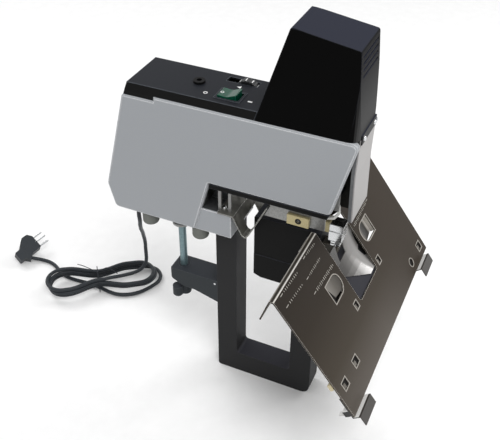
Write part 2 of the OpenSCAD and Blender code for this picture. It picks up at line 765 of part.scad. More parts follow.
module magazine() {
    y0 = staple_y + nose_half;
    y1 = y0 + magazine_len;
    ear = [y1 - 14, y1 - 4];
    color("#b4b7ba") difference() {
        union() {
            block([-magazine_w / 2, y0, magazine_z], [magazine_w / 2, y1, magazine_z + 18]);
            block([-plate_in, ear[0], magazine_z + 20], [plate_in, ear[1], magazine_z + 22]);
            block([-magazine_w / 2, ear[0], magazine_z + 17], [magazine_w / 2, ear[1], magazine_z + 22]);
        }
        block([-slot_w / 2, y0 - 1, magazine_z + magazine_t], [slot_w / 2, y1 - 3, magazine_z + 24]);
    }
}

module staple_strip() {
    y0 = staple_y + slot_t / 2;
    color("#c4c7ca") difference() {
        block([-strip_w / 2, y0, magazine_z + magazine_t], [strip_w / 2, y0 + strip_len,
            magazine_z + magazine_t + strip_h]);
        block([1 - strip_w / 2, y0 - 1, magazine_z + magazine_t - 1], [strip_w / 2 - 1,
            y0 + strip_len + 1, magazine_z + magazine_t + strip_h - 1]);
    }
}

module staple_pusher() {
    y0 = staple_y + slot_t / 2 + strip_len + 0.3;
    color("#55585c") union() {
        block([-strip_w / 2, y0, magazine_z + magazine_t + slide_fit], [strip_w / 2, y0 + 16,
            magazine_z + magazine_t + strip_h + 2]);
        block([-2, y0 + 6, magazine_z + 12], [2, y0 + 12, magazine_z + 24]);
    }
}

module plunger() {
    color("#9a9da1") translate([0, staple_y, 0]) {
        translate([0, 0, carrier_z + 14]) cylinder(h = yoke_z + yoke_h - 18 - carrier_z - 14,
            d = plunger_d);
        block([-10, -6, carrier_z], [10, 6, carrier_z + 14]);
    }
}

module driver_blade() {
    color("#c7cacd") block([-blade_w / 2, staple_y - blade_t / 2, nose_z + 16], [blade_w / 2,
        staple_y + blade_t / 2, carrier_z]);
}

module solenoid_yoke() {
    color("#6b6e72") difference() {
        block([-plate_in, staple_y - yoke_half, yoke_z], [plate_in, staple_y + yoke_half, yoke_z + yoke_h]);
        block([-plate_in - 1, staple_y - yoke_half + yoke_t, yoke_z + yoke_t],
            [plate_in + 1, staple_y + yoke_half - yoke_t, yoke_z + yoke_h - yoke_t]);
        translate([0, staple_y, yoke_z - 1]) cylinder(h = yoke_t + 2, d = plunger_d + 2 * slide_fit);
    }
}

module solenoid_coil() {
    color("#7a4a2c") translate([0, staple_y, yoke_z + yoke_t]) difference() {
        cylinder(h = yoke_h - 2 * yoke_t, r = yoke_half - yoke_t - 1);
        translate([0, 0, -1]) cylinder(h = yoke_h - yoke_t - 16, d = plunger_d + 2 * slide_fit);
    }
}

// Anvil and saddle

housing_half = frame_w / 2 - 0.5;
housing_split = front_leg_z + housing_base_h;
module anvil_housing() {
    color("#1b1c1e") difference() {
        slab_yz(rounded([[front_y, housing_split], [front_y + housing_len, housing_split],
            [front_y + housing_len, housing_top, 2], [front_y, housing_top]]), -housing_half, housing_half);
        block([-housing_half + housing_t, front_y + housing_t, housing_split - 1],
            [housing_half - housing_t, front_y + housing_len - housing_t, housing_top - 4]);
        bar_x(-frame_w, frame_w, hinge_y, hinge_z, hinge_d / 2 + 0.02);
    }
}

module housing_base() {
    color("#1e1f22") difference() {
        slab_yz(rounded([[front_y, front_leg_z], [front_y + housing_len - 10, front_leg_z],
            [front_y + housing_len, front_leg_z + 4], [front_y + housing_len, housing_split], [front_y,
                housing_split]]),
            -frame_w / 2, frame_w / 2);
        block([-housing_half + housing_t, front_y + housing_t, front_leg_z + 6],
            [housing_half - housing_t, front_y + housing_len - housing_t, housing_split + 1]);
    }
}

module anvil_die() {
    color("#a79b78") difference() {
        block([-die_w / 2, staple_y - 11.5, housing_top], [die_w / 2, staple_y + nose_half, crest_z]);
        for (s = [-1, 1]) block([s * blade_w / 4 - blade_w / 5, staple_y - 1, crest_z - 1],
            [s * blade_w / 4 + blade_w / 5, staple_y + 1, crest_z + 1]);
    }
}

holder_y = staple_y - 11.5;
module anvil_holder() {
    color("#cfd2d4") union() {
        slab_yz([[holder_y, housing_top + 3], [holder_y, crest_z - 1], [holder_y - 18.5, crest_z - 1],
            [holder_y - 17.5, housing_top + 3]], -9, 9);
        block([-10, holder_y - 17, housing_top - 10], [10, holder_y, housing_top + 3.5]);
        for (z = [housing_top - 14, housing_top - 18]) block([-9, holder_y - 15, z], [9, holder_y - 3,
            z + 2.5]);
        block([-6, holder_y - 13, housing_top - 19], [6, holder_y - 5, housing_top - 9]);
    }
}

module anvil_bracket() {
    color("#9c8d68") slab_yz([[front_y, housing_top - 38], [front_y - 14, housing_top - 38],
        [front_y - 20, housing_top - 30],
        [front_y - 20, housing_top - 19], [front_y, housing_top - 19]], -8, 8);
}

// Depth below the front plate's face, at a distance s down the slope, to (y, z).
function slope_point(s, n) = [crest_y - s * cos(table_tilt) - n * -sin(table_tilt),
    crest_z - s * sin(table_tilt) - n * cos(table_tilt)];

shield_half = cut_w / 2 + shield_lap;
shield_cut = cut_w / 2 - 6;
shield_top = 34;
shield_low = cut_len - 2;
// The shield's line down the slope, hollow towards the operator.
shield_run = [for (i = [0 : 8]) let (t = i / 8) slope_point(shield_top + (shield_low - shield_top) * t,
    shield_gap + 9 * sin(180 * t))];
shield_band = band(shield_run, 1.2);
module front_shield() {
    color("#c9ccd0") difference() {
        slab_yz(shield_band, -shield_half, shield_half);
        on_slope() translate([0, 0, -30]) linear_extrude(40) {
            polygon(rounded([[1.5 - shield_cut, -72, 3], [shield_cut, -cut_len - 4],
                [-shield_cut, -cut_len - 4], [-shield_cut, -78, 2]]));
            polygon([[shield_half - 6, -75], [shield_half + 1, -72], [shield_half + 1, -90],
                [shield_half - 4, -87]]);
        }
        block([-11, staple_y - 31, housing_top - 40], [11, front_y, crest_z]);
    }
}

module table_bracket() {
    seat = [slope_point(cut_len + seat_len, table_t + 6), slope_point(cut_len + seat_len, table_t + seam),
        slope_point(cut_len + 3, table_t + seam)];
    back = [for (i = [8 : -1 : 4]) shield_band[i]];
    color("#1c1d20") slab_yz(concat([[front_y, front_leg_z - 12]], seat, back, [[front_y, back[4][1] - 6]]),
        -shield_half, shield_half);
}

// Profile of the saddle: lower edge of the front plate, crest strip, rear flap.
function saddle_profile() = let (low = [-table_len * cos(table_tilt), -table_len * sin(table_tilt)])
    [[crest_y, crest_z] + low, [crest_y, crest_z], [crest_y + crest_w, crest_z + 0.5], [flap_y,
        crest_z - flap_h]];

module saddle_table() {
    line = saddle_profile();
    skin = inset_open(line, table_t / 2);
    color("#5d5954") difference() {
        union() {
            difference() {
                slab_yz(band(skin, table_t), -table_w / 2, table_w / 2);
                block([-ear_x - ear_t - 5, hinge_y - 7, crest_z - flap_h - 5], [ear_x + ear_t + 5,
                    flap_y + 5, crest_z - 12]);
            }
            for (s = [-1, 1]) slab_yz(rounded([[hinge_y - 8, hinge_z, 6], [hinge_y, hinge_z - 8, 6],
                [hinge_y + 6, hinge_z - 4, 2],
                [crest_y + crest_w + 1.5, crest_z - 3], [crest_y + 1, crest_z - 2], slope_point(14, 1)]),
                s > 0 ? ear_x : -ear_x - ear_t, s > 0 ? ear_x + ear_t : -ear_x);
        }
        on_slope() translate([0, 0, -12]) linear_extrude(24) {
            polygon(rounded([[-cut_w / 2, -cut_len, 4], [cut_w / 2, -cut_len, 4], [cut_w / 2, -1],
                [-cut_w / 2, -1]]));
            for (s = [0, 1]) mirror([s, 0]) {
                polygon(rounded([[-pocket_x - pocket_w / 2, -pocket_s - pocket_h / 2, 1],
                    [pocket_w / 2 - pocket_x, -pocket_s - pocket_h / 2, 12],
                    [pocket_w / 2 - pocket_x, -pocket_s + pocket_h / 2, 12],
                    [-pocket_x - pocket_w / 2, -pocket_s + pocket_h / 2, 1]]));
                translate(hook_window) square(small_window, center = true);
            }
            for (p = windows) translate(p) square(large_window, center = true);
            translate(round_hole) circle(d = hole_d);
        }
        block([-cut_w / 2, crest_y - 30, crest_z - flap_h - 5], [cut_w / 2, flap_y + 5, crest_z + 3]);
        bar_x(-ear_x - 9, ear_x + 9, hinge_y, hinge_z, hinge_d / 2 + run_fit);
    }
    inner = pocket_x - pocket_w / 2;
    outer = pocket_x + pocket_w / 2 - 1.5;
    color("#77726b") for (s = [0, 1]) mirror([s, 0, 0]) on_slope()
        slab_xz([[3 - inner, -table_t], [3 - inner, -0.8], [-inner, -0.8], [-outer, -6.5], [-outer, -7.7],
            [-inner, -table_t]], -pocket_s - pocket_h / 2 + 2, -pocket_s + pocket_h / 2 - 2);
}

// An open line moved to its lower side by d, for a sheet whose upper face lies on the line.
function inset_open(p, d) = let (k = len(p),
    n = [for (i = [0 : k - 2]) let (u = unit(p[i + 1] - p[i])) [u[1], -u[0]]])
    [for (i = [0 : k - 1]) let (m = n[max(0, i - 1)], q = n[min(k - 2,
        i)]) p[i] + (m + q) / (1 + m * q) * d];

module table_shaft() {
    color("#8d9093") bar_x(-ear_x - ear_t - 2, ear_x + ear_t + 2, hinge_y, hinge_z, hinge_d / 2);
}

module table_bar() {
    color("#cbbd98") on_slope() block([-table_w / 2 - 2, -bar_s - 4, -table_t - 4], [table_w / 2 + 2,
        -bar_s + 4, -table_t]);
}

// A clip on the plate's lower edge: tongue and legs below the plate, wall at the edge, flap outside it.
module paper_stop(x) {
    e = table_len;
    clip = -table_t - 10;
    color("#6a655f") on_slope() translate([x - stop_w / 2, 0, 0]) {
        block([0, -e - 1.8, -table_t - 1.8], [stop_w, -e + 30, -table_t - slide_fit]);
        block([0, -e - 1.8, -table_t - 1.8], [stop_w, -e - slide_fit, stop_h]);
        block([0, -e - stop_reach, stop_h - 1.5], [stop_w, -e - slide_fit, stop_h]);
        for (a = [0, stop_w - 8]) {
            block([a, -e + 2, clip], [a + 8, -e + 10, -table_t - 1.5]);
            block([a + 1, -e + 4, clip - 8], [a + 7, -e + 5.5, clip + 1]);
        }
    }
}

module stop_near() {
    paper_stop(-stop_near_x);
}

module stop_far() {
    paper_stop(stop_far_x);
}

// Throat

module throat_guide() {
    notch = housing_half + 2.5;
    color("#8a857c") difference() {
        slab_yz(band(guide_path, guide_t), -guide_half, guide_half);
        block([-notch, guide_path[3][0] - 40, guide_path[3][1] - 4], [notch, guide_path[2][0] + 6.5,
            pan_top - 12]);
        block([-notch, guide_path[3][0] - 40, pan_top - 13], [notch, guide_path[3][0], pan_top + 40]);
        for (s = [-1, 1], y = tab_bolts) translate([s * tab_bolt_x, y, pan_top - 1]) cylinder(h = 4,
            r = 2 + 0.02);
    }
}

module guide_bolts() {
    color("#c6c9cc") for (s = [-1, 1], y = tab_bolts) translate([s * tab_bolt_x, y, pan_top - 8]) {
        cylinder(h = 8 + guide_t, r = 2);
        translate([0, 0, 8 + guide_t]) cylinder(h = 2.6, r1 = 3, r2 = 2.2);
    }
}

pad_h = 19.5;
pad_r = 11.2;
pad_edge = 4;
module rubber_feet() {
    color("#7b7d76") for (x = [-half_w + 13.5, half_w - 13.5], y = [rear_y + 18, rear_y + 93])
        translate([x, y, body_z - pad_h]) rotate_extrude() polygon(concat([[0, 0]],
            [for (a = [0 : 15 : 75]) [pad_r - pad_edge + pad_edge * sin(a), pad_edge - pad_edge * cos(a)]],
            [[pad_r, pad_edge + 1], [pad_r, pad_h], [0, pad_h]]));
}

// Electrics

module control_board() {
    y0 = rear_y + 75;
    floor_z = body_z + pan_t;
    color("#2f6b3c") union() {
        block([-22, y0, floor_z + 7], [22, y0 + 42, floor_z + 8.6]);
        for (x = [-18, 18], y = [y0 + 4, y0 + 38]) translate([x, y, floor_z]) cylinder(h = 7.5, r = 3);
        block([-15, y0 + 10, floor_z + 8], [-3, y0 + 28, floor_z + 22]);
        translate([10, y0 + 20, floor_z + 8]) cylinder(h = 25, r = 8);
    }
}

module transformer() {
    y0 = rear_y + 30;
    floor_z = body_z + pan_t;
    color("#5a5550") union() {
        block([-20, y0, floor_z], [20, y0 + 38, floor_z + 34]);
        block([-13, y0 - 5, floor_z + 7], [13, y0 + 43, floor_z + 27]);
    }
}

// Controls

rocker_pin_r = 1.5;
module rocker_bezel() {
    a = rocker_w / 2;
    b = rocker_len / 2;
    color("#17181a") translate([rocker_x, panel_mid, panel_z]) difference() {
        union() {
            block([-a - 1.5, -b - 1.5, 0], [a + 1.5, b + 1.5, 0.8]);
            block([-a + 0.1, -b + 0.1, -9], [a - 0.1, b - 0.1, 0.5]);
        }
        block([-a + 1.2, -b + 1.2, -10], [a - 1.2, b - 1.2, 3]);
        bar_x(-a - 1, a + 1, 0, -3, rocker_pin_r + run_fit);
    }
}

rocker_tilt = 9;
module rocker() {
    h = rocker_len / 2 - 2.6;
    w = rocker_w / 2 - 1.6;
    color("#0b7a55") translate([rocker_x, panel_mid, panel_z - 3]) rotate([-rocker_tilt, 0, 0]) union() {
        slab_yz(rounded([[h - 2, -2], [h, 8.4, 1], [0, 5.6, 9], [-h, 8.4, 1], [2 - h, -2]]), -w, w);
        bar_x(-w - 1.2, w + 1.2, 0, 0, rocker_pin_r);
    }
}

module power_wheel() {
    color("#8e9195") translate([wheel_x, wheel_y, wheel_z]) rotate([0, 90, 0]) difference() {
        cylinder(h = wheel_w, d = wheel_d, center = true);
        cylinder(h = wheel_w + 2, r = axle_r + run_fit, center = true);
        for (a = [0 : 15 : 345]) rotate(a) translate([wheel_d / 2, 0, 0]) cylinder(h = wheel_w + 2,
            r = 0.9, center = true, $fn = 8);
    }
}

module wheel_axle() {
    color("#aeb1b4") bar_x(wheel_x - window_w / 2 - rib_t, wheel_x + window_w / 2 + rib_t, wheel_y,
        wheel_z, axle_r);
}

module pedal_socket() {
    color("#121315") translate([0, socket_y, panel_z]) difference() {
        union() {
            cylinder(h = 3, r = socket_d / 2 + 4);
            translate([0, 0, -22]) cylinder(h = 23, r = socket_d / 2 + 2.4);
        }
        translate([0, 0, -18]) cylinder(h = 22, d = socket_d);
    }
}

// Cord

// The cord's sleeve: a bush through the pan and a tapered strain relief under it.
module cord_gland() {
    color("#1a1b1d") translate([0, gland_y, body_z]) difference() {
        union() {
            translate([0, 0, -gland_len]) cylinder(h = gland_len, r1 = cord_d / 2 + 1.6,
                r2 = gland_r + 3.5);
            cylinder(h = pan_t + 3, r = gland_r - 0.1);
        }
        translate([0, 0, -gland_len - 1]) cylinder(h = gland_len - gland_seat + 1, d = cord_d + 0.04);
    }
}

function hank_place(p) = [hank_mid[0] + p[0] * cos(hank_turn) - p[1] * sin(hank_turn),
    hank_mid[1] + p[0] * sin(hank_turn) + p[1] * cos(hank_turn), p[2]];
// Ends of the straight runs of turn k, to the right and to the left, and the drawing-in at u.
function reach_r(k) = 58 + 5 * max(0, k);
function reach_l(k) = 66 - 3 * k;
function drawn(u) = abs(u - hank_waist) > hank_waist_half ? 0 :
    hank_draw * (1 + cos(180 * (u - hank_waist) / hank_waist_half)) / 2;
// A point of the winding after t turns: near run, left end, far run (a layer down), right end.
function hank_point(t) = let (k = floor(t), q = 4 * (t - k), a = reach_r(k - 1), b = reach_l(k),
    c = reach_r(k),
    level = hank_turns - k - min(1, max(0, q - 2)),
    u = q < 1 ? a - (a + b) * q : q < 2 ? -b + hank_r * cos(90 + 180 * (2 - q)) :
        q < 3 ? -b + (b + c) * (q - 2) : c + hank_r * cos(90 - 180 * (q - 3)),
    v = q < 1 ? drawn(u) - hank_r : q < 2 ? hank_r * sin(90 + 180 * (2 - q)) :
        q < 3 ? hank_r - drawn(u) : hank_r * sin(90 - 180 * (q - 3)))
    [u + 2 * cos(140 * level), v + 1.5 * sin(115 * level), hank_low + hank_rise * level];
hank_rings = 24;
hank_first = reach_r(-1) / (reach_r(-1) + reach_l(0)) / 4;
hank_last = hank_turns - 0.25 / 6;
hank_core = let (n = round((hank_last - hank_first) * hank_rings))
    [for (i = [0 : n]) hank_point(hank_first + (hank_last - hank_first) * i / n)];
hank_end = len(hank_core) - 1;
run_in = smooth(concat(first_run, [hank_core[0], hank_core[1]]), 2);
run_out = smooth(concat([hank_core[hank_end - 1], hank_core[hank_end]],
    [for (p = last_run) [p[0], p[1], hank_low]]), 2);
hank_wound = [for (p = concat([for (i = [0 : len(run_in) - 4]) run_in[i]],
    [for (i = [0 : hank_end - 1]) hank_core[i]], [for (i = [2 : len(run_out) - 1]) run_out[i]]))
        hank_place(p)];
hank_n = len(hank_wound) - 1;
hank_in = unit(hank_wound[1] - hank_wound[0]);
hank_out = unit(hank_wound[hank_n] - hank_wound[hank_n - 1]);
hank_route = concat([hank_wound[0] - cord_d * hank_in], hank_wound,
    [hank_wound[hank_n] + cord_d * hank_out]);
drop_end = hank_route[0];
tail_start = hank_route[len(hank_route) - 1];
hank_gap = min([for (i = [0 : len(hank_route) - 8], j = [i + 7 : len(hank_route) - 1])
    norm(hank_route[i] - hank_route[j])]) - cord_d;
function run_length(p) = [for (i = 1, a = norm(p[1] - p[0]); i < len(p); i = i + 1,
    a = i < len(p) ? a + norm(p[i] - p[i - 1]) : a) a][len(p) - 2];
// A direction drawn in the plug's own axes, in the model's axes.
function plug_dir(v) = let (a = [v[0], v[1] * cos(plug_roll) - v[2] * sin(plug_roll),
    v[1] * sin(plug_roll) + v[2] * cos(plug_roll)],
    b = [a[0] * cos(plug_pitch) + a[2] * sin(plug_pitch), a[1],
        a[2] * cos(plug_pitch) - a[0] * sin(plug_pitch)])
    [b[0] * cos(plug_yaw) - b[1] * sin(plug_yaw), b[0] * sin(plug_yaw) + b[1] * cos(plug_yaw), b[2]];
plug_side = plug_dir([sin(entry_lean), -cos(entry_lean), 0]);
plug_entry = plug_mid + plug_dir(entry_at);
drop_line = smooth(concat([[0, gland_y, body_z - gland_seat], [0, gland_y, body_z - gland_seat - 10]],
    drop_route,
    [drop_end - cord_d * hank_in, drop_end]), 4);
tail_line = smooth(concat([tail_start, tail_start + cord_d * hank_out], tail_route,
    [plug_entry + cord_d * plug_side, plug_entry]), 4);
echo(hank_gap = hank_gap, cord_length = run_length(drop_line) + run_length(hank_route)
    + run_length(tail_line));

module cord_drop() {
    color("#2a2d30") sweep(drop_line, cord_d, 10);
}

module cord_hank() {
    color("#2a2d30") sweep(hank_route, cord_d, 6);
}

module hank_tie() {
    near = -21;
    far = 19.5;
    top = hank_low + hank_turns * hank_rise + cord_d / 2 + 0.6;
    color("#202124") translate([hank_mid[0], hank_mid[1], 0]) rotate(hank_turn) difference() {
        block([hank_waist - 1.5, near - tie_t, 0], [hank_waist + 1.5, far + tie_t, top + tie_t]);
        block([hank_waist - 2, near, tie_t], [hank_waist + 2, far, top]);
    }
}

module cord_tail() {
    color("#2a2d30") sweep(tail_line, cord_d, 10);
}

// Places a piece drawn with its pins along +X and its pin row along Y.
module at_plug() {
    translate(plug_mid) rotate([0, plug_pitch, plug_yaw]) rotate([plug_roll, 0, 0]) children();
}

module plug_body() {
    color("#25282c") at_plug() translate([0, 0, -plug_t / 2]) linear_extrude(plug_t)
        polygon([for (p = rounded(plug_outline)) [p[0], -p[1]]]);
}

module plug_pins() {
    color("#8c8f92") at_plug() for (q = [-pin_gap, 0, pin_gap]) translate([0, q,
        q == 0 ? 5 : 0]) rotate([0, 90, 0])
        cylinder(h = pin_len, d = pin_d);
}

frame();
clamp_arm();
arm_pin();
clamp_bush();
clamp_spindle();
clamp_knob();
clamp_pad();
base_pan();
frame_bolts();
left_cover();
right_cover();
rear_cover();
top_cover();
head_cover();
lower_trim();
front_guard();
guard_screws();
chassis();
cross_bars();
bearing_blocks();
lever_shaft();
trigger_lever();
driver_guide();
nose_block();
magazine();
staple_strip();
staple_pusher();
plunger();
driver_blade();
solenoid_yoke();
solenoid_coil();
anvil_housing();
housing_base();
anvil_die();
anvil_holder();
anvil_bracket();
front_shield();
table_bracket();
saddle_table();
table_shaft();
table_bar();
stop_near();
stop_far();
throat_guide();
guide_bolts();
rubber_feet();
control_board();
transformer();
rocker_bezel();
rocker();
power_wheel();
wheel_axle();
pedal_socket();
cord_gland();
cord_drop();
cord_hank();
hank_tie();
cord_tail();
plug_body();
plug_pins();
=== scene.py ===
import json
import math

import bmesh
import bpy
from mathutils import Matrix, Vector


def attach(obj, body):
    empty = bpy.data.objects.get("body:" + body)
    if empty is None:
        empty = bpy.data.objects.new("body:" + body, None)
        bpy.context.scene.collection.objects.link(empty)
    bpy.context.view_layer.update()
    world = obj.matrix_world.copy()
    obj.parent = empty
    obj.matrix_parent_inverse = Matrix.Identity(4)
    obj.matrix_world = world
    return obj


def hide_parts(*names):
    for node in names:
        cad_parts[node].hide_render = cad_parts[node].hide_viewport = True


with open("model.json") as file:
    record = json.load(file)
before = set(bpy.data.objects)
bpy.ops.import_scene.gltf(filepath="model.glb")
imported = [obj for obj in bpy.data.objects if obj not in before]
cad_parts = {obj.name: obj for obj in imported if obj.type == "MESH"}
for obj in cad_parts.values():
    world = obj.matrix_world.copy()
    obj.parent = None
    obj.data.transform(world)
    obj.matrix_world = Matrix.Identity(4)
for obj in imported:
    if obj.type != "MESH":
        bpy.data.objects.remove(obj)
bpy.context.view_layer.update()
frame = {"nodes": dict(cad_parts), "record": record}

nodes = frame["nodes"]
scene = bpy.context.scene
MM = 0.001


# Camera, solved from the photograph's straight edges; its turn is an axis as long as the angle

PHOTO_WIDTH = 500
FOCAL_PIXELS = 790.9
SENSOR_WIDTH = 36.0
CAMERA_TURN = Vector((1.9417, -1.255, 0.6211))
CAMERA_PLACE = Vector((-0.74416, -0.29521, 0.91418))

camera_data = bpy.data.cameras.new("camera")
camera = bpy.data.objects.new("camera", camera_data)
scene.collection.objects.link(camera)
scene.camera = camera
axes = Matrix.Rotation(CAMERA_TURN.length, 3, CAMERA_TURN.normalized())
pose = Matrix((axes[0], -axes[1], -axes[2])).transposed().to_4x4()
pose.translation = CAMERA_PLACE
camera.matrix_world = pose
camera_data.sensor_fit = "HORIZONTAL"
camera_data.sensor_width = SENSOR_WIDTH
camera_data.lens = FOCAL_PIXELS / PHOTO_WIDTH * SENSOR_WIDTH


# Saddle plate: its crest as (y, z), its slope, and the height of its upper face along its own normal

CREST = (-71.5, 315.0)
TILT = math.radians(52.8)
CREST_HEIGHT = CREST[1] * math.cos(TILT) - CREST[0] * math.sin(TILT)


# Material tools, in metres

EDGE_SAMPLES = 4
GRAIN_DETAIL = 4.0
GRAIN_DEPTH = 0.0003
PAINTED_EDGE_LEAN = (0.985, 0.86)
PAINTED_SHEEN_UPWARD = (0.35, 0.9)


def srgb(r, g, b):
    def line(c):
        c /= 255.0
        return c / 12.92 if c <= 0.04045 else ((c + 0.055) / 1.055) ** 2.4
    return (line(r), line(g), line(b), 1.0)


class Shader:
    """A Principled material with procedural colour, roughness and bump."""

    def __init__(self, name):
        self.material = bpy.data.materials.new(name)
        self.material.use_nodes = True
        self.tree = self.material.node_tree
        self.base = self.tree.nodes["Principled BSDF"]
        self.coord = self.tree.nodes.new("ShaderNodeTexCoord")

    def add(self, kind, **values):
        node = self.tree.nodes.new(kind)
        for key, value in values.items():
            setattr(node, key, value)
        return node

    def link(self, a, b):
        self.tree.links.new(a, b)

    def stretched(self, scale):
        node = self.add("ShaderNodeMapping")
        node.inputs["Scale"].default_value = scale
        self.link(self.coord.outputs["Object"], node.inputs["Vector"])
        return node.outputs["Vector"]

    def noise(self, scale, detail=3.0, stretch=(1, 1, 1)):
        node = self.add("ShaderNodeTexNoise")
        node.inputs["Scale"].default_value = scale
        node.inputs["Detail"].default_value = detail
        self.link(self.stretched(stretch), node.inputs["Vector"])
        return node.outputs["Fac"]

    def ramp(self, factor, low, high, start=0.3, end=0.7):
        node = self.add("ShaderNodeValToRGB")
        node.color_ramp.elements[0].position = start
        node.color_ramp.elements[0].color = low
        node.color_ramp.elements[1].position = end
        node.color_ramp.elements[1].color = high
        self.link(factor, node.inputs["Fac"])
        return node.outputs["Color"]

    def spread(self, factor, low, high):
        node = self.add("ShaderNodeMapRange")
        node.inputs["To Min"].default_value = low
        node.inputs["To Max"].default_value = high
        self.link(factor, node.inputs["Value"])
        return node.outputs["Result"]

    def part_of(self, value, start, end):
        """Nought at start, one at end."""
        node = self.add("ShaderNodeMapRange")
        node.inputs["From Min"].default_value = start
        node.inputs["From Max"].default_value = end
        self.link(value, node.inputs["Value"])
        return node.outputs["Result"]

    def graded(self, value, stops):
        """A colour that runs through the stops, each a place on the value and a colour."""
        first, last = stops[0][0], stops[-1][0]
        node = self.add("ShaderNodeValToRGB")
        self.link(self.part_of(value, first, last), node.inputs["Fac"])
        marks = node.color_ramp.elements
        while len(marks) < len(stops):
            marks.new(0.5)
        for mark, (place, colour) in zip(marks, stops):
            mark.position = (place - first) / (last - first)
            mark.color = srgb(*colour)
        return node.outputs["Color"]

    def mixed(self, factor, a, b):
        """Colour a, turning to colour b with the factor; b is a socket or a constant."""
        node = self.add("ShaderNodeMix", data_type="RGBA")
        self.link(factor, node.inputs["Factor"])
        self.link(a, node.inputs["A"])
        if isinstance(b, tuple):
            node.inputs["B"].default_value = b
        else:
            self.link(b, node.inputs["B"])
        return node.outputs["Result"]

    def split(self, vector):
        node = self.add("ShaderNodeSeparateXYZ")
        self.link(vector, node.inputs["Vector"])
        return node.outputs

    def place(self):
        return self.split(self.coord.outputs["Object"])

    def facing(self):
        return self.split(self.coord.outputs["Normal"])

    def slanted(self, output, kind):
        """A place or a direction along the saddle plate's own axes."""
        node = self.add("ShaderNodeMapping", vector_type=kind)
        node.inputs["Rotation"].default_value = (-TILT, 0, 0)
        self.link(self.coord.outputs[output], node.inputs["Vector"])
        return self.split(node.outputs["Vector"])

    def edge(self, radius):
        node = self.add("ShaderNodeBevel", samples=EDGE_SAMPLES)
        node.inputs["Radius"].default_value = radius
        return node.outputs["Normal"]

    def painted_edge_mask(self, rounded_normal):
        """How far the rounded normal leans from the face's own: high along edges, where painted edge light
        goes.
        """
        own = self.add("ShaderNodeNewGeometry")
        lean = self.add("ShaderNodeVectorMath", operation="DOT_PRODUCT")
        self.link(rounded_normal, lean.inputs[0])
        self.link(own.outputs["True Normal"], lean.inputs[1])
        return self.part_of(lean.outputs["Value"], *PAINTED_EDGE_LEAN)

    def bump(self, height, strength, distance, normal):
        node = self.add("ShaderNodeBump")
        node.inputs["Strength"].default_value = strength
        node.inputs["Distance"].default_value = distance
        self.link(height, node.inputs["Height"])
        self.link(normal, node.inputs["Normal"])
        return node.outputs["Normal"]

    def surface(self, colour, grain, rough, metal, specular=None, normal=None):
        """Set the Principled inputs; the roughness follows the grain through its range."""
        self.link(colour, self.base.inputs["Base Color"])
        self.link(self.spread(grain, *rough), self.base.inputs["Roughness"])
        self.base.inputs["Metallic"].default_value = metal
        if specular is not None:
            self.base.inputs["Specular IOR Level"].default_value = specular
        if normal is not None:
            self.link(normal, self.base.inputs["Normal"])


# Plain finishes: colours from dark to light by the grain, which is counted per metre, the range of roughness,
# the radius of edges, the colour of faces that look up (top), which is a painted sheen, and the colour of
# painted edge light along the edges, lighter than the face on most finishes and darker on the clear guard

def finish_of(name, dark, light, rough, metal=0.0, grain=900.0, bump=0.1, stretch=(1, 1, 1), edge=0.0006,
              specular=0.3, top=None, painted_edge_tone=None):
    s = Shader(name)
    fac = s.noise(grain, GRAIN_DETAIL, stretch)
    colour = s.ramp(fac, srgb(*dark), srgb(*light))
    normal = s.edge(edge)
    # Painted sheen: faces that look up turn towards the top colour
    if top:
        colour = s.mixed(s.part_of(s.facing()["Z"], *PAINTED_SHEEN_UPWARD), colour, srgb(*top))
    # Painted edge light: edges turn towards the edge colour, mostly a painted highlight
    if painted_edge_tone:
        colour = s.mixed(s.painted_edge_mask(normal), colour, srgb(*painted_edge_tone))
    if bump:
        normal = s.bump(fac, bump, GRAIN_DEPTH, normal)
    s.surface(colour, fac, rough, metal, specular, normal)
    return s
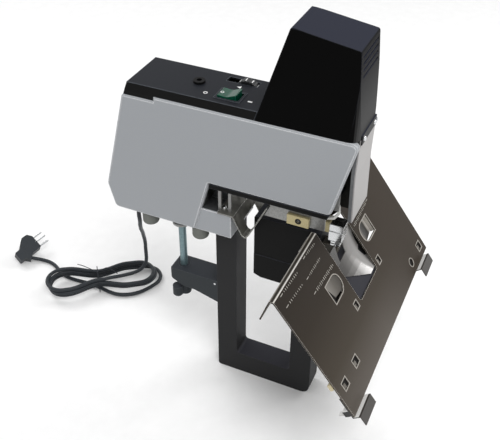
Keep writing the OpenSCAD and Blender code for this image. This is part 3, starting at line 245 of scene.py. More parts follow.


# Top colours are a painted sheen, and edge colours are painted edge light
PLAIN = {
    "black_casting": dict(dark=(34, 34, 35), light=(43, 43, 44), rough=(0.5, 0.62), grain=1400, bump=0.2,
                          edge=0.0012, specular=0.12, top=(50, 50, 56), painted_edge_tone=(66, 67, 70)),
    "arm_black": dict(dark=(42, 46, 49), light=(51, 55, 58), rough=(0.45, 0.58), grain=1400, bump=0.2,
                      edge=0.0014, specular=0.15, top=(47, 50, 55), painted_edge_tone=(80, 84, 88)),
    "black_plastic": dict(dark=(13, 13, 13), light=(18, 18, 18), rough=(0.45, 0.55), grain=2200,
                          edge=0.0014, specular=0.08, top=(54, 56, 63), painted_edge_tone=(62, 64, 70)),
    "panel_black": dict(dark=(13, 13, 13), light=(18, 18, 18), rough=(0.45, 0.55), grain=2200,
                        edge=0.0014, specular=0.08, top=(29, 31, 36), painted_edge_tone=(104, 109, 116)),
    "socket_black": dict(dark=(8, 8, 9), light=(13, 13, 14), rough=(0.5, 0.6), specular=0.1),
    "black_cord": dict(dark=(33, 37, 41), light=(42, 47, 52), rough=(0.4, 0.5), grain=700, bump=0.08,
                       specular=0.25),
    "grey_paint": dict(dark=(151, 154, 158), light=(156, 159, 163), rough=(0.4, 0.48), grain=1500, bump=0.03,
                       edge=0.0021, painted_edge_tone=(250, 251, 252)),
    "grey_plastic": dict(dark=(92, 94, 97), light=(126, 128, 131), rough=(0.35, 0.5), bump=0.06),
    "grey_rubber": dict(dark=(98, 100, 97), light=(112, 114, 109), rough=(0.6, 0.75), bump=0.15,
                        specular=0.2),
    "white_plastic": dict(dark=(216, 216, 210), light=(230, 230, 226), rough=(0.4, 0.5), grain=700,
                          bump=0.04),
    "green_plastic": dict(dark=(0, 56, 40), light=(0, 72, 52), rough=(0.16, 0.24), grain=300, bump=0.0,
                          specular=0.4, painted_edge_tone=(24, 122, 92)),
    "green_board": dict(dark=(28, 84, 46), light=(40, 106, 60), rough=(0.35, 0.5), grain=400, bump=0.05),
    "plain_steel": dict(dark=(128, 128, 127), light=(150, 150, 148), rough=(0.3, 0.45), metal=0.7, grain=500,
                        bump=0.05, stretch=(0.05, 1, 1)),
    "bright_steel": dict(dark=(196, 198, 199), light=(218, 219, 220), rough=(0.16, 0.26), metal=1.0,
                         grain=700, bump=0.03),
    "zinc_steel": dict(dark=(104, 126, 131), light=(128, 150, 154), rough=(0.28, 0.4), metal=0.6, grain=500,
                       bump=0.05),
    "sheet_steel": dict(dark=(96, 95, 90), light=(124, 123, 117), rough=(0.22, 0.36), metal=0.5, grain=120,
                        bump=0.05, stretch=(1, 0.2, 1), painted_edge_tone=(228, 228, 226)),
    "dish_steel": dict(dark=(88, 83, 76), light=(126, 121, 114), rough=(0.3, 0.42), metal=0.3, grain=160,
                       bump=0.05),
    "rim_steel": dict(dark=(150, 145, 137), light=(178, 173, 165), rough=(0.3, 0.4), metal=0.3, bump=0.0),
    "brass_tone": dict(dark=(172, 160, 120), light=(190, 178, 138), rough=(0.4, 0.5), metal=0.2, bump=0.06),
    "dim_bronze": dict(dark=(44, 42, 37), light=(62, 58, 51), rough=(0.4, 0.5), metal=0.2, grain=300,
                       bump=0.06, painted_edge_tone=(150, 143, 128)),
    "copper_coil": dict(dark=(110, 60, 34), light=(140, 82, 48), rough=(0.4, 0.55), metal=0.3, grain=500,
                        bump=0.2, stretch=(0.2, 0.2, 6)),
    "beige_strip": dict(dark=(190, 178, 146), light=(204, 193, 162), rough=(0.5, 0.6), bump=0.05),
    "clear_guard": dict(dark=(152, 150, 149), light=(159, 156, 155), rough=(0.3, 0.4), grain=300, bump=0.02,
                        painted_edge_tone=(122, 122, 132)),
    "guard_edge": dict(dark=(90, 92, 94), light=(104, 105, 107), rough=(0.3, 0.4), grain=300, bump=0.02),
    "dial": dict(dark=(20, 21, 23), light=(30, 32, 34), rough=(0.35, 0.45), bump=0.05, painted_edge_tone=(84, 86, 89)),
    "shade": dict(dark=(24, 23, 22), light=(34, 33, 31), rough=(0.5, 0.6), grain=300, bump=0.05,
                  specular=0.1),
    # Near-black painted shade for the inside of holes
    "dark_hole": dict(dark=(8, 8, 9), light=(14, 14, 15), rough=(0.6, 0.7), bump=0.0),
    "mark_white": dict(dark=(225, 225, 225), light=(238, 238, 238), rough=(0.5, 0.6), bump=0.0),
    "mark_grey": dict(dark=(150, 146, 138), light=(196, 192, 184), rough=(0.5, 0.6), grain=500, bump=0.0),
    "floor": dict(dark=(250, 250, 250), light=(254, 254, 254), rough=(0.85, 0.95), grain=40, bump=0.0,
                  specular=0.1),
}
FINISH = {name: finish_of(name, **look) for name, look in PLAIN.items()}


# Brushed dark steel of the saddle plate, with painted light: a painted light gradient down the slope by
# height, painted highlights on the upward crest by depth, painted shade towards the far side, and painted
# edge highlights

PAINTED_SLOPE_LIGHT = [(0.315, (38, 32, 26)), (0.267, (46, 39, 31)), (0.219, (64, 57, 48)), (0.176, (93, 87, 81))]
PAINTED_CREST_HIGHLIGHT = [(-0.0715, (222, 219, 213)), (-0.0702, (206, 202, 196)), (-0.0696, (58, 54, 48)),
               (-0.0672, (44, 41, 36)), (-0.0664, (132, 128, 121)), (-0.0655, (176, 172, 165))]
CREST_HIGHLIGHT_FACING = (0.88, 0.97)
FAR_SHADE = (-0.02, 0.12)
FAR_SHADE_TONE = srgb(52, 44, 35)
PAINTED_EDGE_HIGHLIGHT = srgb(226, 221, 213)
BRUSH = dict(scale=60.0, detail=6.0, stretch=(1.0, 40.0, 40.0))
BRUSH_TONES = ((0.7, 0.7, 0.7, 1), (1, 1, 1, 1))
BRUSH_SHARE = 0.3
BRUSH_DEPTH = 0.0002


def dark_steel(name):
    s = Shader(name)
    brush = s.noise(**BRUSH)
    place = s.place()
    # Painted light gradient down the slope, with the brushed grain multiplied in
    brushed = s.add("ShaderNodeMix", data_type="RGBA", blend_type="MULTIPLY")
    brushed.inputs["Factor"].default_value = BRUSH_SHARE
    s.link(s.graded(place["Z"], PAINTED_SLOPE_LIGHT), brushed.inputs["A"])
    s.link(s.ramp(brush, *BRUSH_TONES), brushed.inputs["B"])
    # Painted shade towards the far side, then painted highlights on the crest and along the edges
    shaded = s.mixed(s.part_of(place["X"], *FAR_SHADE), brushed.outputs["Result"], FAR_SHADE_TONE)
    crest = s.graded(place["Y"], PAINTED_CREST_HIGHLIGHT)
    crested = s.mixed(s.part_of(s.facing()["Z"], *CREST_HIGHLIGHT_FACING), shaded, crest)
    normal = s.edge(0.0007)
    colour = s.mixed(s.painted_edge_mask(normal), crested, PAINTED_EDGE_HIGHLIGHT)
    normal = s.bump(brush, 0.06, BRUSH_DEPTH, normal)
    s.surface(colour, brush, rough=(0.36, 0.5), metal=0.3, specular=0.15, normal=normal)
    return s


# Black plastic of the head, whose front lightens downwards as painted light

PAINTED_TOWER_FRONT_LIGHT = [(0.57, (20, 20, 21)), (0.54, (26, 26, 28)), (0.48, (66, 66, 66)), (0.45, (72, 72, 72))]
FRONTWARD = (-0.5, -0.85)


def tower_black(name):
    s = finish_of(name, (7, 7, 7), (10, 10, 10), (0.45, 0.55), grain=2200, edge=0.0014, specular=0.02,
                  top=(45, 47, 57), painted_edge_tone=(60, 62, 68))
    socket = s.base.inputs["Base Color"]
    colour = socket.links[0].from_socket
    # Painted light on faces that look forwards: lighter towards the bottom
    front = s.graded(s.place()["Z"], PAINTED_TOWER_FRONT_LIGHT)
    s.link(s.mixed(s.part_of(s.facing()["Y"], *FRONTWARD), colour, front), socket)
    return s


# Steel of the two pressed pockets and mirror sheet of the shield, with tones across the machine: painted
# light in the dishes and a painted reflection on the shield

PAINTED_DISH_LIGHT = {"dish_near": [(-0.0765, (136, 132, 126)), (-0.0705, (128, 124, 118)), (-0.058, (90, 86, 80)),
                            (-0.045, (58, 54, 49))],
              "dish_far": [(0.045, (112, 108, 103)), (0.05, (84, 80, 75)), (0.054, (38, 35, 31)),
                           (0.068, (32, 29, 26)), (0.0705, (150, 146, 140)), (0.0765, (205, 202, 197))]}
PAINTED_SHIELD_REFLECTION = [(-0.03, (46, 44, 42)), (-0.008, (70, 68, 66)), (0.008, (106, 104, 102)),
                (0.032, (208, 206, 204))]
SHEET_GRAIN = 300


def dish(name):
    s = Shader(name)
    tone = s.graded(s.place()["X"], PAINTED_DISH_LIGHT[name])
    s.surface(tone, s.noise(SHEET_GRAIN), rough=(0.3, 0.42), metal=0.3)
    return s


def polished(name):
    s = Shader(name)
    tone = s.graded(s.place()["X"], PAINTED_SHIELD_REFLECTION)
    s.surface(tone, s.noise(SHEET_GRAIN), rough=(0.2, 0.3), metal=0.25, normal=s.edge(0.0006))
    return s


# Grey sheet of a paper stop: tones by height over the plate's upper face, with a bright wall on the plate,
# which is a painted highlight, a dark clip below it and bright hooks at the bottom

STOP_TONES = [(-0.0135, (190, 190, 188)), (-0.0115, (24, 24, 25)), (-0.0036, (24, 24, 25)),
              (-0.0026, (64, 61, 58))]
STOP_WALL_FACING = (0.8, 0.95)
STOP_WALL_TOP = (0.0055, 0.0048)
STOP_WALL_HIGHLIGHT = srgb(255, 255, 254)
STOP_GRAIN = 500


def stop_steel(name):
    s = Shader(name)
    level = CREST_HEIGHT * MM
    height = s.slanted("Object", "POINT")["Z"]
    tone = s.graded(height, [(level + over, colour) for over, colour in STOP_TONES])
    # Painted highlight on the wall's face that looks up the plate
    wall = s.add("ShaderNodeMath", operation="MULTIPLY")
    s.link(s.part_of(s.slanted("Normal", "NORMAL")["Y"], *STOP_WALL_FACING), wall.inputs[0])
    s.link(s.part_of(height, level + STOP_WALL_TOP[0], level + STOP_WALL_TOP[1]), wall.inputs[1])
    colour = s.mixed(wall.outputs["Value"], tone, STOP_WALL_HIGHLIGHT)
    s.surface(colour, s.noise(STOP_GRAIN), rough=(0.3, 0.42), metal=0.2, normal=s.edge(0.0004))
    return s


for name, make in {"dark_steel": dark_steel, "tower_black": tower_black, "dish_near": dish, "dish_far": dish,
                   "polished": polished, "stop_steel": stop_steel}.items():
    FINISH[name] = make(name)


# Finishes of the solids: the one that the record names, apart from these

SPECIAL = {"front_guard": "clear_guard", "front_shield": "polished", "throat_guide": "sheet_steel",
           "stop_near": "stop_steel", "stop_far": "stop_steel", "head_cover": "tower_black",
           "top_cover": "panel_black", "power_wheel": "dial", "clamp_arm": "arm_black",
           "clamp_bush": "arm_black", "clamp_knob": "arm_black", "rocker_bezel": "panel_black",
           "pedal_socket": "socket_black", "anvil_bracket": "dim_bronze"}
for part in frame["record"]["subparts"]:
    obj = nodes[part["node"]]
    look = FINISH[SPECIAL.get(part["node"], part["material_slot"])].material
    obj.data.materials.clear()
    obj.data.materials.append(look)


# Piece tools, in millimetres; a thin piece lies between two heights, or lifts, over the face that carries it

ROUND = 32
TUBE_ROUND = 5
SIDES = ((-1, "near"), (1, "far"))


def piece_from(name, data, look, body, slot):
    obj = bpy.data.objects.new(name, data)
    scene.collection.objects.link(obj)
    data.materials.append(FINISH[look].material)
    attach(obj, body)
    return obj


def solid(name, verts, faces, look, body, slot):
    """A closed mesh, its faces turned outwards."""
    mesh = bpy.data.meshes.new(name)
    mesh.from_pydata([Vector(v) * MM for v in verts], [], faces)
    shell = bmesh.new()
    shell.from_mesh(mesh)
    bmesh.ops.recalc_face_normals(shell, faces=shell.faces)
    shell.to_mesh(mesh)
    shell.free()
    return piece_from(name, mesh, look, body, slot)


def prism_faces(n, k=0):
    """Faces between an outline of n corners, numbered from k, and the same outline after it."""
    faces = [list(range(k, k + n))[::-1], list(range(k + n, k + 2 * n))]
    return faces + [[k + i, k + (i + 1) % n, k + n + (i + 1) % n, k + n + i] for i in range(n)]


def prism(name, outline, place, low, high, look, body, slot):
    """A flat outline of (a, b) points, thickened from low to high, put in the model by place(a, b, h)."""
    verts = [place(a, b, h) for h in (low, high) for a, b in outline]
    return solid(name, verts, prism_faces(len(outline)), look, body, slot)


def frame_piece(name, outer, inner, place, low, high, look, body, slot):
    """A flat ring between two outlines with the same number of points."""
    n = len(outer)
    verts = [place(a, b, h) for h in (low, high) for ring in (outer, inner) for a, b in ring]
    faces = []
    for i in range(n):
        j = (i + 1) % n
        faces += [[i, n + i, n + j, j], [2 * n + i, 2 * n + j, 3 * n + j, 3 * n + i],
                  [i, j, 2 * n + j, 2 * n + i], [n + i, 3 * n + i, 3 * n + j, n + j]]
    return solid(name, verts, faces, look, body, slot)


def circle(a, b, r):
    turns = [2 * math.pi * i / ROUND for i in range(ROUND)]
    return [(a + r * math.cos(t), b + r * math.sin(t)) for t in turns]


def rings(middle, radii):
    return [circle(*middle, r) for r in radii]


def rectangle(a, b, w, h):
    return [(a - w / 2, b - h / 2), (a + w / 2, b - h / 2), (a + w / 2, b + h / 2), (a - w / 2, b + h / 2)]


def tube(name, points, diameter, look, body, slot):
    """A round tube of one open spline through points in metres."""
    curve = bpy.data.curves.new(name, "CURVE")
    curve.dimensions = "3D"
    curve.bevel_depth = diameter / 2
    curve.bevel_resolution = TUBE_ROUND
    curve.use_fill_caps = True
    line = curve.splines.new("POLY")
    line.points.add(len(points) - 1)
    for p, q in zip(line.points, points):
        p.co = (q[0], q[1], q[2], 1.0)
    line.use_smooth = True
    return piece_from(name, curve, look, body, slot)


# Mains cord: the route of the part's source. A reach is that of the first turn and what each later turn adds;
# the hank sways by so much, with so many degrees from one level to the next

CORD_D = 6.0
TIE_T = 1.2
HANK_MID = (60.0, 325.0)
HANK_TURN = math.radians(-53.0)
HANK_R = 26.0
HANK_DRAW = 13.0
HANK_WAIST = -8.0
HANK_WAIST_HALF = 50.0
HANK_TURNS = 3
TIE_GAP = 0.3
TURN_GAP = 0.9
HANK_LOW = CORD_D / 2 + TIE_T + TIE_GAP
HANK_RISE = CORD_D + TURN_GAP
REACH_RIGHT = (58, 5)
REACH_LEFT = (66, -3)
SWAY = (2.0, 1.5)
SWAY_TURN = (140, 115)
DROP_START = [(0, 201, 253), (0, 201, 243)]
DROP = [(1, 202, 231), (5, 204, 217), (12, 209, 203), (23, 216, 189), (37, 225, 172), (51, 233, 155),
        (65, 241, 138), (77, 248, 121), (86.5, 253, 105), (92, 256, 90)]
FIRST_RUN = [(74.2, -14, 68), (74, -13.9, 58), (72.2, -13.8, 47.7), (67, -13.5, 38.7), (59, -13.2, 32),
             (49.2, -13, 28.5), (38, -13, 26.8), (26, -13, 25.8), (12, -13, 25.3)]
LAST_RUN = [(68.5, -31), (53, -36.5), (37, -37.5), (20.5, -33.5), (6.5, -24), (-4, -13.5), (-14.5, -4.5)]
TAIL = [(47.4, 360, 4.4), (46.4, 374, 4.2), (47, 387, 3.9), (49.6, 399, 3.7), (53.8, 409, 3.5),
        (58.8, 417.5, 3.4), (63.4, 426, 3.3), (66.4, 434.5, 3.3), (67.4, 443, 3.4), (66.8, 451, 3.9),
        (64.8, 458.6, 5)]
PLUG_MID = Vector((84.0, 478.0, 22.2))
PLUG_TURN = (Matrix.Rotation(math.radians(-17.7), 3, "Z") @ Matrix.Rotation(math.radians(-8.0), 3, "Y")
             @ Matrix.Rotation(math.radians(33.0), 3, "X"))
ENTRY = Vector((-24, -18, 0))
ENTRY_LEAN = math.radians(42.0)
PLUG_ENTRY = PLUG_MID + PLUG_TURN @ ENTRY
PLUG_SIDE = PLUG_TURN @ Vector((math.sin(ENTRY_LEAN), -math.cos(ENTRY_LEAN), 0))
POINTS_PER_TURN = 24
FINE = 4
RUN_STEPS = 6
LAST_GAP = 0.25 / 6


def smooth(points, n):
    """A curve through the points, with n steps from each to the next."""
    p = [Vector(q) for q in points]
    out = []
    for i in range(len(p) - 1):
        a, b, c, d = p[max(0, i - 1)], p[i], p[i + 1], p[min(len(p) - 1, i + 2)]
        for k in range(n):
            t = k / n
            out.append(0.5 * (2 * b + (c - a) * t + (2 * a - 5 * b + 4 * c - d) * t * t
                              + (3 * b - a - 3 * c + d) * t ** 3))
    return out + [p[-1]]


def hank_place(p):
    c, s = math.cos(HANK_TURN), math.sin(HANK_TURN)
    return Vector((HANK_MID[0] + p[0] * c - p[1] * s, HANK_MID[1] + p[0] * s + p[1] * c, p[2]))


def reach_r(k):
    return REACH_RIGHT[0] + REACH_RIGHT[1] * max(0, k)


def reach_l(k):
    return REACH_LEFT[0] + REACH_LEFT[1] * k


def drawn(u):
    """How far the tie draws the hank's sides in."""
    w = (u - HANK_WAIST) / HANK_WAIST_HALF
    return 0.0 if abs(w) > 1 else HANK_DRAW * (1 + math.cos(math.pi * w)) / 2


def hank_point(t):
    """The hank's middle line after t turns: a side, the left end, the other side, the right end."""
    k = math.floor(t)
    q = 4 * (t - k)
    a, b, c = reach_r(k - 1), reach_l(k), reach_r(k)
    level = HANK_TURNS - k - min(1, max(0, q - 2))
    if q < 1:
        u = a - (a + b) * q
        v = drawn(u) - HANK_R
    elif q < 2:
        u = -b + HANK_R * math.cos(math.radians(90 + 180 * (2 - q)))
        v = HANK_R * math.sin(math.radians(90 + 180 * (2 - q)))
    elif q < 3:
        u = -b + (b + c) * (q - 2)
        v = HANK_R - drawn(u)
    else:
        u = c + HANK_R * math.cos(math.radians(90 - 180 * (q - 3)))
        v = HANK_R * math.sin(math.radians(90 - 180 * (q - 3)))
    sway_u = SWAY[0] * math.cos(math.radians(SWAY_TURN[0] * level))
    sway_v = SWAY[1] * math.sin(math.radians(SWAY_TURN[1] * level))
    return Vector((u + sway_u, v + sway_v, HANK_LOW + HANK_RISE * level))


def cord_route():
    first = reach_r(-1) / (reach_r(-1) + reach_l(0)) / 4
    last = HANK_TURNS - LAST_GAP
    n = round((last - first) * POINTS_PER_TURN)
    core = [hank_point(first + (last - first) * i / n) for i in range(n + 1)]
    fine_n = n * FINE
    fine = [hank_point(first + (last - first) * i / fine_n) for i in range(fine_n + 1)]
    step = 2 * FINE
    run_in = smooth(FIRST_RUN + core[:2], step)[:-1 - step]
    run_out = smooth(core[-2:] + [(u, v, HANK_LOW) for u, v in LAST_RUN], step)[step:]
    hank = [hank_place(p) for p in run_in + fine[:-1] + run_out]
    into = (hank[1] - hank[0]).normalized()
    out = (hank[-1] - hank[-2]).normalized()
    start, end = hank[0] - CORD_D * into, hank[-1] + CORD_D * out
    drop = smooth(DROP_START + DROP + [start - CORD_D * into, start], RUN_STEPS)
    last_points = [PLUG_ENTRY + CORD_D * PLUG_SIDE, PLUG_ENTRY]
    tail = smooth([end, end + CORD_D * out] + TAIL + last_points, RUN_STEPS)
    return [p * MM for p in drop + hank + tail]


cord = tube("mains_cord", cord_route(), CORD_D * MM, "black_cord", "body", "black_cord")
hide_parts("cord_drop", "cord_hank", "cord_tail")


# Wire tie round the hank's waist, with its two twisted ends

TIE_D = 1.3
TIE_NEAR = -21.6
TIE_FAR = 20.1
TIE_LOW = 0.9
TIE_TOP = HANK_LOW + HANK_TURNS * HANK_RISE + CORD_D / 2 + TIE_T
TIE_STEPS = 5


def tie_route():
    near, far, low, top = TIE_NEAR, TIE_FAR, TIE_LOW, TIE_TOP
    ends_a = [(-39, 20, 36), (-32, 15, 36.5), (-25, 9.5, 36), (-17, 3.5, 34.5), (-11, 0.5, top + 1.6)]
    ring = [(-8.5, 0, top + 0.4), (-8, 8, top), (-8, far - 4, top - 1), (-8, far, top - 6), (-8, far, 8),
            (-8, far - 4, 2), (-8, 8, low), (-8, -10, low), (-8, near + 4, 1.6), (-8, near, 6),
            (-8, near, 16), (-8, near + 5, 25), (-8, -8, top - 0.6), (-7.5, -1, top + 0.6)]
    ends_b = [(-5, 0.5, top + 2.2), (0, 1, 33.5), (9, 2.5, 34.5), (16, -4.5, 34), (24, -14, 33)]
    return [hank_place(p) * MM for p in smooth(ends_a + ring + ends_b, TIE_STEPS)]


tie = tube("wire_tie", tie_route(), TIE_D * MM, "black_plastic", "body", "black_plastic")
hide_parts("hank_tie")


# Marks on the control panel and the rocker, whose two faces rise from its middle

PANEL_Z = 464.0
ROCKER = (-14.5, 50.5, 461.0)
ROCKER_TILT = math.radians(-9.0)
ROCKER_MIDDLE = 5.6
ROCKER_RISE = 0.2258
MARK = (0.02, 0.12)
OFF_MARK = (-20, 80)
OFF_RADII = (2.6, 1.5)
ON_MARK = (-18.15, 24.15, 2.5, 5.5)
DIAL_POINTER = [(5.4, 47.4), (10.6, 47.4), (8, 52.6)]
ROCKER_MARK = (-1, 8.6)
ROCKER_RADII = (2.2, 1.4)


def on_panel(a, b, h):
    return (a, b, PANEL_Z + h)


def on_rocker(a, b, h):
    c, s = math.cos(ROCKER_TILT), math.sin(ROCKER_TILT)
    z = ROCKER_MIDDLE + ROCKER_RISE * abs(b) + h
    return (ROCKER[0] + a, ROCKER[1] + b * c - z * s, ROCKER[2] + b * s + z * c)


def mark(kind, name, *shape, body="body"):
    kind(name, *shape, *MARK, "mark_white", body, "white_plastic")


mark(frame_piece, "mark_off", *rings(OFF_MARK, OFF_RADII), on_panel)
mark(prism, "mark_dial", DIAL_POINTER, on_panel)
mark(prism, "mark_on", rectangle(*ON_MARK), on_panel)
mark(frame_piece, "rocker_mark", *rings(ROCKER_MARK, ROCKER_RADII), on_rocker, body="rocker")


# White strokes between the grooves of the power wheel, which are painted highlights on its ridges, each so
# wide across and so many degrees long

WHEEL = (22.5, 44.5, 452.0)
WHEEL_R = 16.0
WHEEL_LIFT = (0.02, 0.14)
WHEEL_GROOVES = range(-120, 121, 30)
FROM_GROOVE = 7.5
WHEEL_STROKE = (6, 5.2)


def on_wheel(across, angle, h):
    r = WHEEL_R + h
    a = math.radians(angle)
    return (WHEEL[0] + across, WHEEL[1] + r * math.sin(a), WHEEL[2] + r * math.cos(a))


def dial_highlight_strokes():
    verts, faces = [], []
    for groove in WHEEL_GROOVES:
        stroke = rectangle(0, groove + FROM_GROOVE, *WHEEL_STROKE)
        faces += prism_faces(4, len(verts))
        verts += [on_wheel(a, b, h) for h in WHEEL_LIFT for a, b in stroke]
    solid("dial_highlight_strokes", verts, faces, "mark_white", "wheel", "white_plastic")


dial_highlight_strokes()


# Windows and the round hole in the saddle plate, each placed across and down the slope from the crest, with
# a rim, a pressed back in the shade look, which is painted shade in the opening, and, in the windows, a tab
# that takes up a share of the width and height

PLATE_LIFT = (0.02, 0.22)
RIM = 1.3
WINDOWS = {"near_a": (-109, 140, 12, 10.5), "near_b": (-147, 140, 12, 10.5), "far": (150.5, 159, 12, 10.5),
           "hook_near": (-46.8, 104, 8.5, 9.5), "hook_far": (46.8, 104, 8.5, 9.5)}
HOLE = (111, 159)
HOLE_R = 5.5
PRESSED = (-1.8, -1.4)
TAB_LIFT = (-1.4, -0.7)
TAB_SHIFT = (-0.2, 0.15)
TAB_SHARE = (0.45, 0.6)
BACK_GAP = 0.1


def on_plate(x, s, h):
    c, k = math.cos(TILT), math.sin(TILT)
    return (x, CREST[0] - s * c - h * k, CREST[1] - s * k + h * c)


def plate_rim(name, outer, inner):
    frame_piece(name, outer, inner, on_plate, *PLATE_LIFT, "rim_steel", "saddle", "dark_steel")


def plate_shade_back(name, outline):
    prism(name, outline, on_plate, *PRESSED, "shade", "saddle", "dark_steel")


for window, (x, s, w, h) in WINDOWS.items():
    plate_rim("window_rim_" + window, rectangle(x, s, w + 2 * RIM, h + 2 * RIM), rectangle(x, s, w, h))
    plate_shade_back("window_shade_back_" + window, rectangle(x, s, w - BACK_GAP, h - BACK_GAP))
    tab = rectangle(x + TAB_SHIFT[0] * w, s + TAB_SHIFT[1] * h, TAB_SHARE[0] * w, TAB_SHARE[1] * h)
    prism("window_tab_" + window, tab, on_plate, *TAB_LIFT, "dish_steel", "saddle", "dark_steel")
plate_rim("hole_rim", *rings(HOLE, (HOLE_R + RIM, HOLE_R)))
plate_shade_back("hole_shade_back", circle(*HOLE, HOLE_R - BACK_GAP))


# Finger pockets: a rim on the plate, a dish that falls outwards under it and a wall back up at its end. The
# dish tones are painted light; on the near side a mouth sheet and the wall are painted shade, and on the far
# side the wall is a painted highlight. Ends are measured down the slope from the pocket's middle, and depths
# from the plate's upper face

POCKET = (61.5, 63, 33, 26)
POCKET_R = 12
DISH_ENDS = (-12.8, 11)
DISH_DEPTHS = (-0.8, -6.5)
WALL_ENDS = (-13, 13)
WALL_DEPTHS = (-6.4, -1.8)
WALL_RUN = 1.5
MOUTH_ENDS = (-11, 12.5)
MOUTH_WIDTHS = (3, 10)
MOUTH_DEPTHS = (-5.6, -4.3, -6.1)
SHEET_LIFT = (0.05, 0.3)


def pocket(side, grow):
    """A pocket's outline, flat on its outer side and round on its inner side, grown all round."""
    x, s, w, h = POCKET
    w, h, r = w + 2 * grow, h + 2 * grow, POCKET_R + grow
    inner, outer = side * (x - w / 2), side * (x + w / 2)
    turn = [math.radians(a) for a in range(0, 91, 15)]
    upper = [(inner + side * r * (1 - math.cos(a)), s - h / 2 + r * (1 - math.sin(a))) for a in turn]
    lower = [(p, 2 * s - q) for p, q in reversed(upper)]
    return upper + [(outer, s - h / 2), (outer, s + h / 2)] + lower


def sheet(name, corners, look):
    """A thin sheet under the plate; its corners are across, down from the pocket's middle, and depth."""
    verts = [on_plate(a, POCKET[1] + b, d + lift) for lift in SHEET_LIFT for a, b, d in corners]
    solid(name, verts, prism_faces(4), look, "saddle", "dark_steel")


def slope(near, far, ends, depths):
    """Corners of a sheet that runs from one place across to another, each with its depth."""
    return [(near, ends[0], depths[0]), (near, ends[1], depths[0]),
            (far, ends[1], depths[1]), (far, ends[0], depths[1])]


for side, word in SIDES:
    x, s, w, h = POCKET
    inner, outer, wall = (side * (x + v) for v in (-w / 2, w / 2 - WALL_RUN, w / 2))
    plate_rim("pocket_rim_" + word, pocket(side, RIM), pocket(side, 0))
    sheet("pocket_dish_" + word, slope(inner, outer, DISH_ENDS, DISH_DEPTHS), "dish_" + word)
    # Painted shade in the near pocket's mouth
    if word == "near":
        sheet("pocket_mouth_shade", [(outer + MOUTH_WIDTHS[0], MOUTH_ENDS[0], MOUTH_DEPTHS[0]),
                               (outer + MOUTH_WIDTHS[1], MOUTH_ENDS[1], MOUTH_DEPTHS[1]),
                               (outer, MOUTH_ENDS[1], MOUTH_DEPTHS[2]),
                               (outer, MOUTH_ENDS[0], MOUTH_DEPTHS[2])], "shade")
    # Painted light on the walls: shade on the near side, a highlight on the far side
    wall_painted_light = "shade" if word == "near" else "rim_steel"
    sheet("pocket_wall_" + word, slope(outer, wall, WALL_ENDS, WALL_DEPTHS), wall_painted_light)


# Dark sheet behind each side edge of the shield, which paints shade into the gap there

SHIELD_BACK = (48, 70, 16, 56)
SHIELD_BACK_DEPTHS = (-15.2, -14.3)
for side, word in SIDES:
    x, s, w, h = SHIELD_BACK
    prism("shield_shade_" + word, rectangle(side * x, s, w, h), on_plate, *SHIELD_BACK_DEPTHS, "shade", "body",
          "black_casting")


# Scale marks on the plate: each row is a run of strokes from one place to another, ending in a long one

ROWS = [((-49.2, 5.1), (-76.1, 2.9), 8, 2.8), ((-56.1, 22.3), (-92.1, 21.5), 11, 3.0),
        ((-42.1, 43.4), (-95.8, 40.7), 16, 4.2), ((-105.5, 5.5), (-145.8, 3.0), 11, 2.8),
        ((-110.3, 19.6), (-148.2, 17.1), 10, 2.8)]
STROKE = 0.9
SHORT_SHARE = 0.55
LONG_STROKE = 6.0


def scale_marks(name, side):
    verts, faces = [], []
    for (x0, s0), (x1, s1), count, length in ROWS:
        for i in range(count):
            f = i / (count - 1)
            tall = length * (1.0 if i % 3 else SHORT_SHARE)
            stroke = rectangle(x0 + (x1 - x0) * f, s0 + (s1 - s0) * f, STROKE, tall)
            if i == count - 1:
                stroke = rectangle(x1 - LONG_STROKE / 2, s1, LONG_STROKE, STROKE)
            faces += prism_faces(4, len(verts))
            verts += [on_plate(side * a, b, h) for h in PLATE_LIFT for a, b in stroke]
    solid(name, verts, faces, "mark_grey", "saddle", "white_plastic")


scale_marks("scale_marks_near", 1)
scale_marks("scale_marks_far", -1)


# Around the nose, as (y, z) outlines between two places across: a dark cheek behind it in the shade look,
# which paints shade where it is seen between the cover's slanted end and the guard, the side flanges of the
# guard, and the mouth of the lever's bearing, a near-black ring of painted shade

NOSE_CHEEK = [(-66, 318), (-92, 318), (-104, 335), (-108, 352), (-107, 392), (-90, 392), (-74, 346)]
CHEEK_X = (25.6, 26.4)
GUARD_EDGE = [(-110.6, 444.5), (-109.6, 405.5), (-111.1, 341)]
FLANGE = 4.0
FLANGE_X = (29.4, 28.9)
BEARING = (-47.7, 325.5)
BEARING_RADII = (4.0, 2.0)
BEARING_X = (-34.7, -34.52)


def on_side(y, z, x):
    return (x, y, z)


prism("nose_shade_cheek", NOSE_CHEEK, on_side, *CHEEK_X, "shade", "body", "black_plastic")
flange = GUARD_EDGE + [(y + FLANGE, z) for y, z in reversed(GUARD_EDGE)]
for side, word in SIDES:
    prism("guard_edge_" + word, flange, on_side, side * FLANGE_X[0], side * FLANGE_X[1], "guard_edge", "body",
          "bright_steel")
frame_piece("bearing_mouth", *rings(BEARING, BEARING_RADII), on_side, *BEARING_X, "dark_hole", "body",
            "black_plastic")


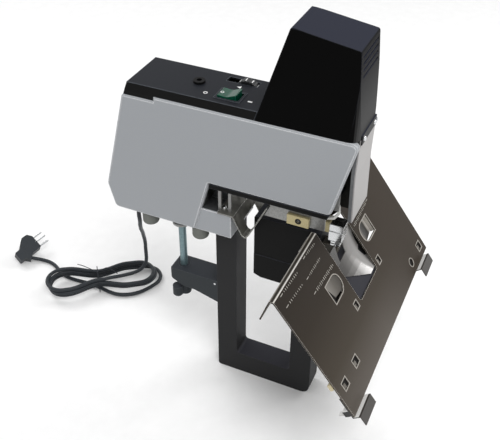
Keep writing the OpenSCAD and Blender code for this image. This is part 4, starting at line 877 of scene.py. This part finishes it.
# Ground

FLOOR_SIZE = 16
FLOOR_Z = -0.0005

floor_mesh = bpy.data.meshes.new("floor")
corners = [(x, y, FLOOR_Z) for x, y in rectangle(0, 0, FLOOR_SIZE, FLOOR_SIZE)]
floor_mesh.from_pydata(corners, [], [(0, 1, 2, 3)])
floor = bpy.data.objects.new("floor", floor_mesh)
scene.collection.objects.link(floor)
floor_mesh.materials.append(FINISH["floor"].material)


# Background: white where the camera sees it, also through glass or in metal, and dimmer where it lights

BACKDROP = 1.0
AMBIENT = 0.55

world = bpy.data.worlds.new("studio")
scene.world = world
world.use_nodes = True
tree = world.node_tree
sky = tree.nodes["Background"]
sky.inputs["Color"].default_value = (1, 1, 1, 1)
path = tree.nodes.new("ShaderNodeLightPath")


def larger(a, b):
    node = tree.nodes.new("ShaderNodeMath")
    node.operation = "MAXIMUM"
    tree.links.new(a, node.inputs[0])
    tree.links.new(b, node.inputs[1])
    return node.outputs["Value"]


direct = larger(path.outputs["Is Camera Ray"], path.outputs["Is Transmission Ray"])
seen = larger(direct, path.outputs["Is Glossy Ray"])
strength = tree.nodes.new("ShaderNodeMapRange")
strength.inputs["To Min"].default_value = AMBIENT
strength.inputs["To Max"].default_value = BACKDROP
tree.links.new(seen, strength.inputs["Value"])
tree.links.new(strength.outputs["Result"], sky.inputs["Strength"])


# Lamps: place, target, size and power

LAMPS = {"key": ((-1.0, -0.9, 2.4), (0, 0.05, 0.3), 1.4, 34),
         "fill": ((1.6, -1.2, 1.5), (0, 0, 0.3), 1.2, 12),
         "rim": ((0.6, 1.8, 1.8), (0, 0.1, 0.3), 1.2, 14)}

for name, (place, target, size, watts) in LAMPS.items():
    data = bpy.data.lights.new(name, "AREA")
    data.shape = "DISK"
    data.size = size
    data.energy = watts
    lamp = bpy.data.objects.new(name, data)
    scene.collection.objects.link(lamp)
    lamp.location = place
    lamp.rotation_euler = (Vector(target) - Vector(place)).to_track_quat("-Z", "Y").to_euler()
scene.view_settings.view_transform = "Standard"
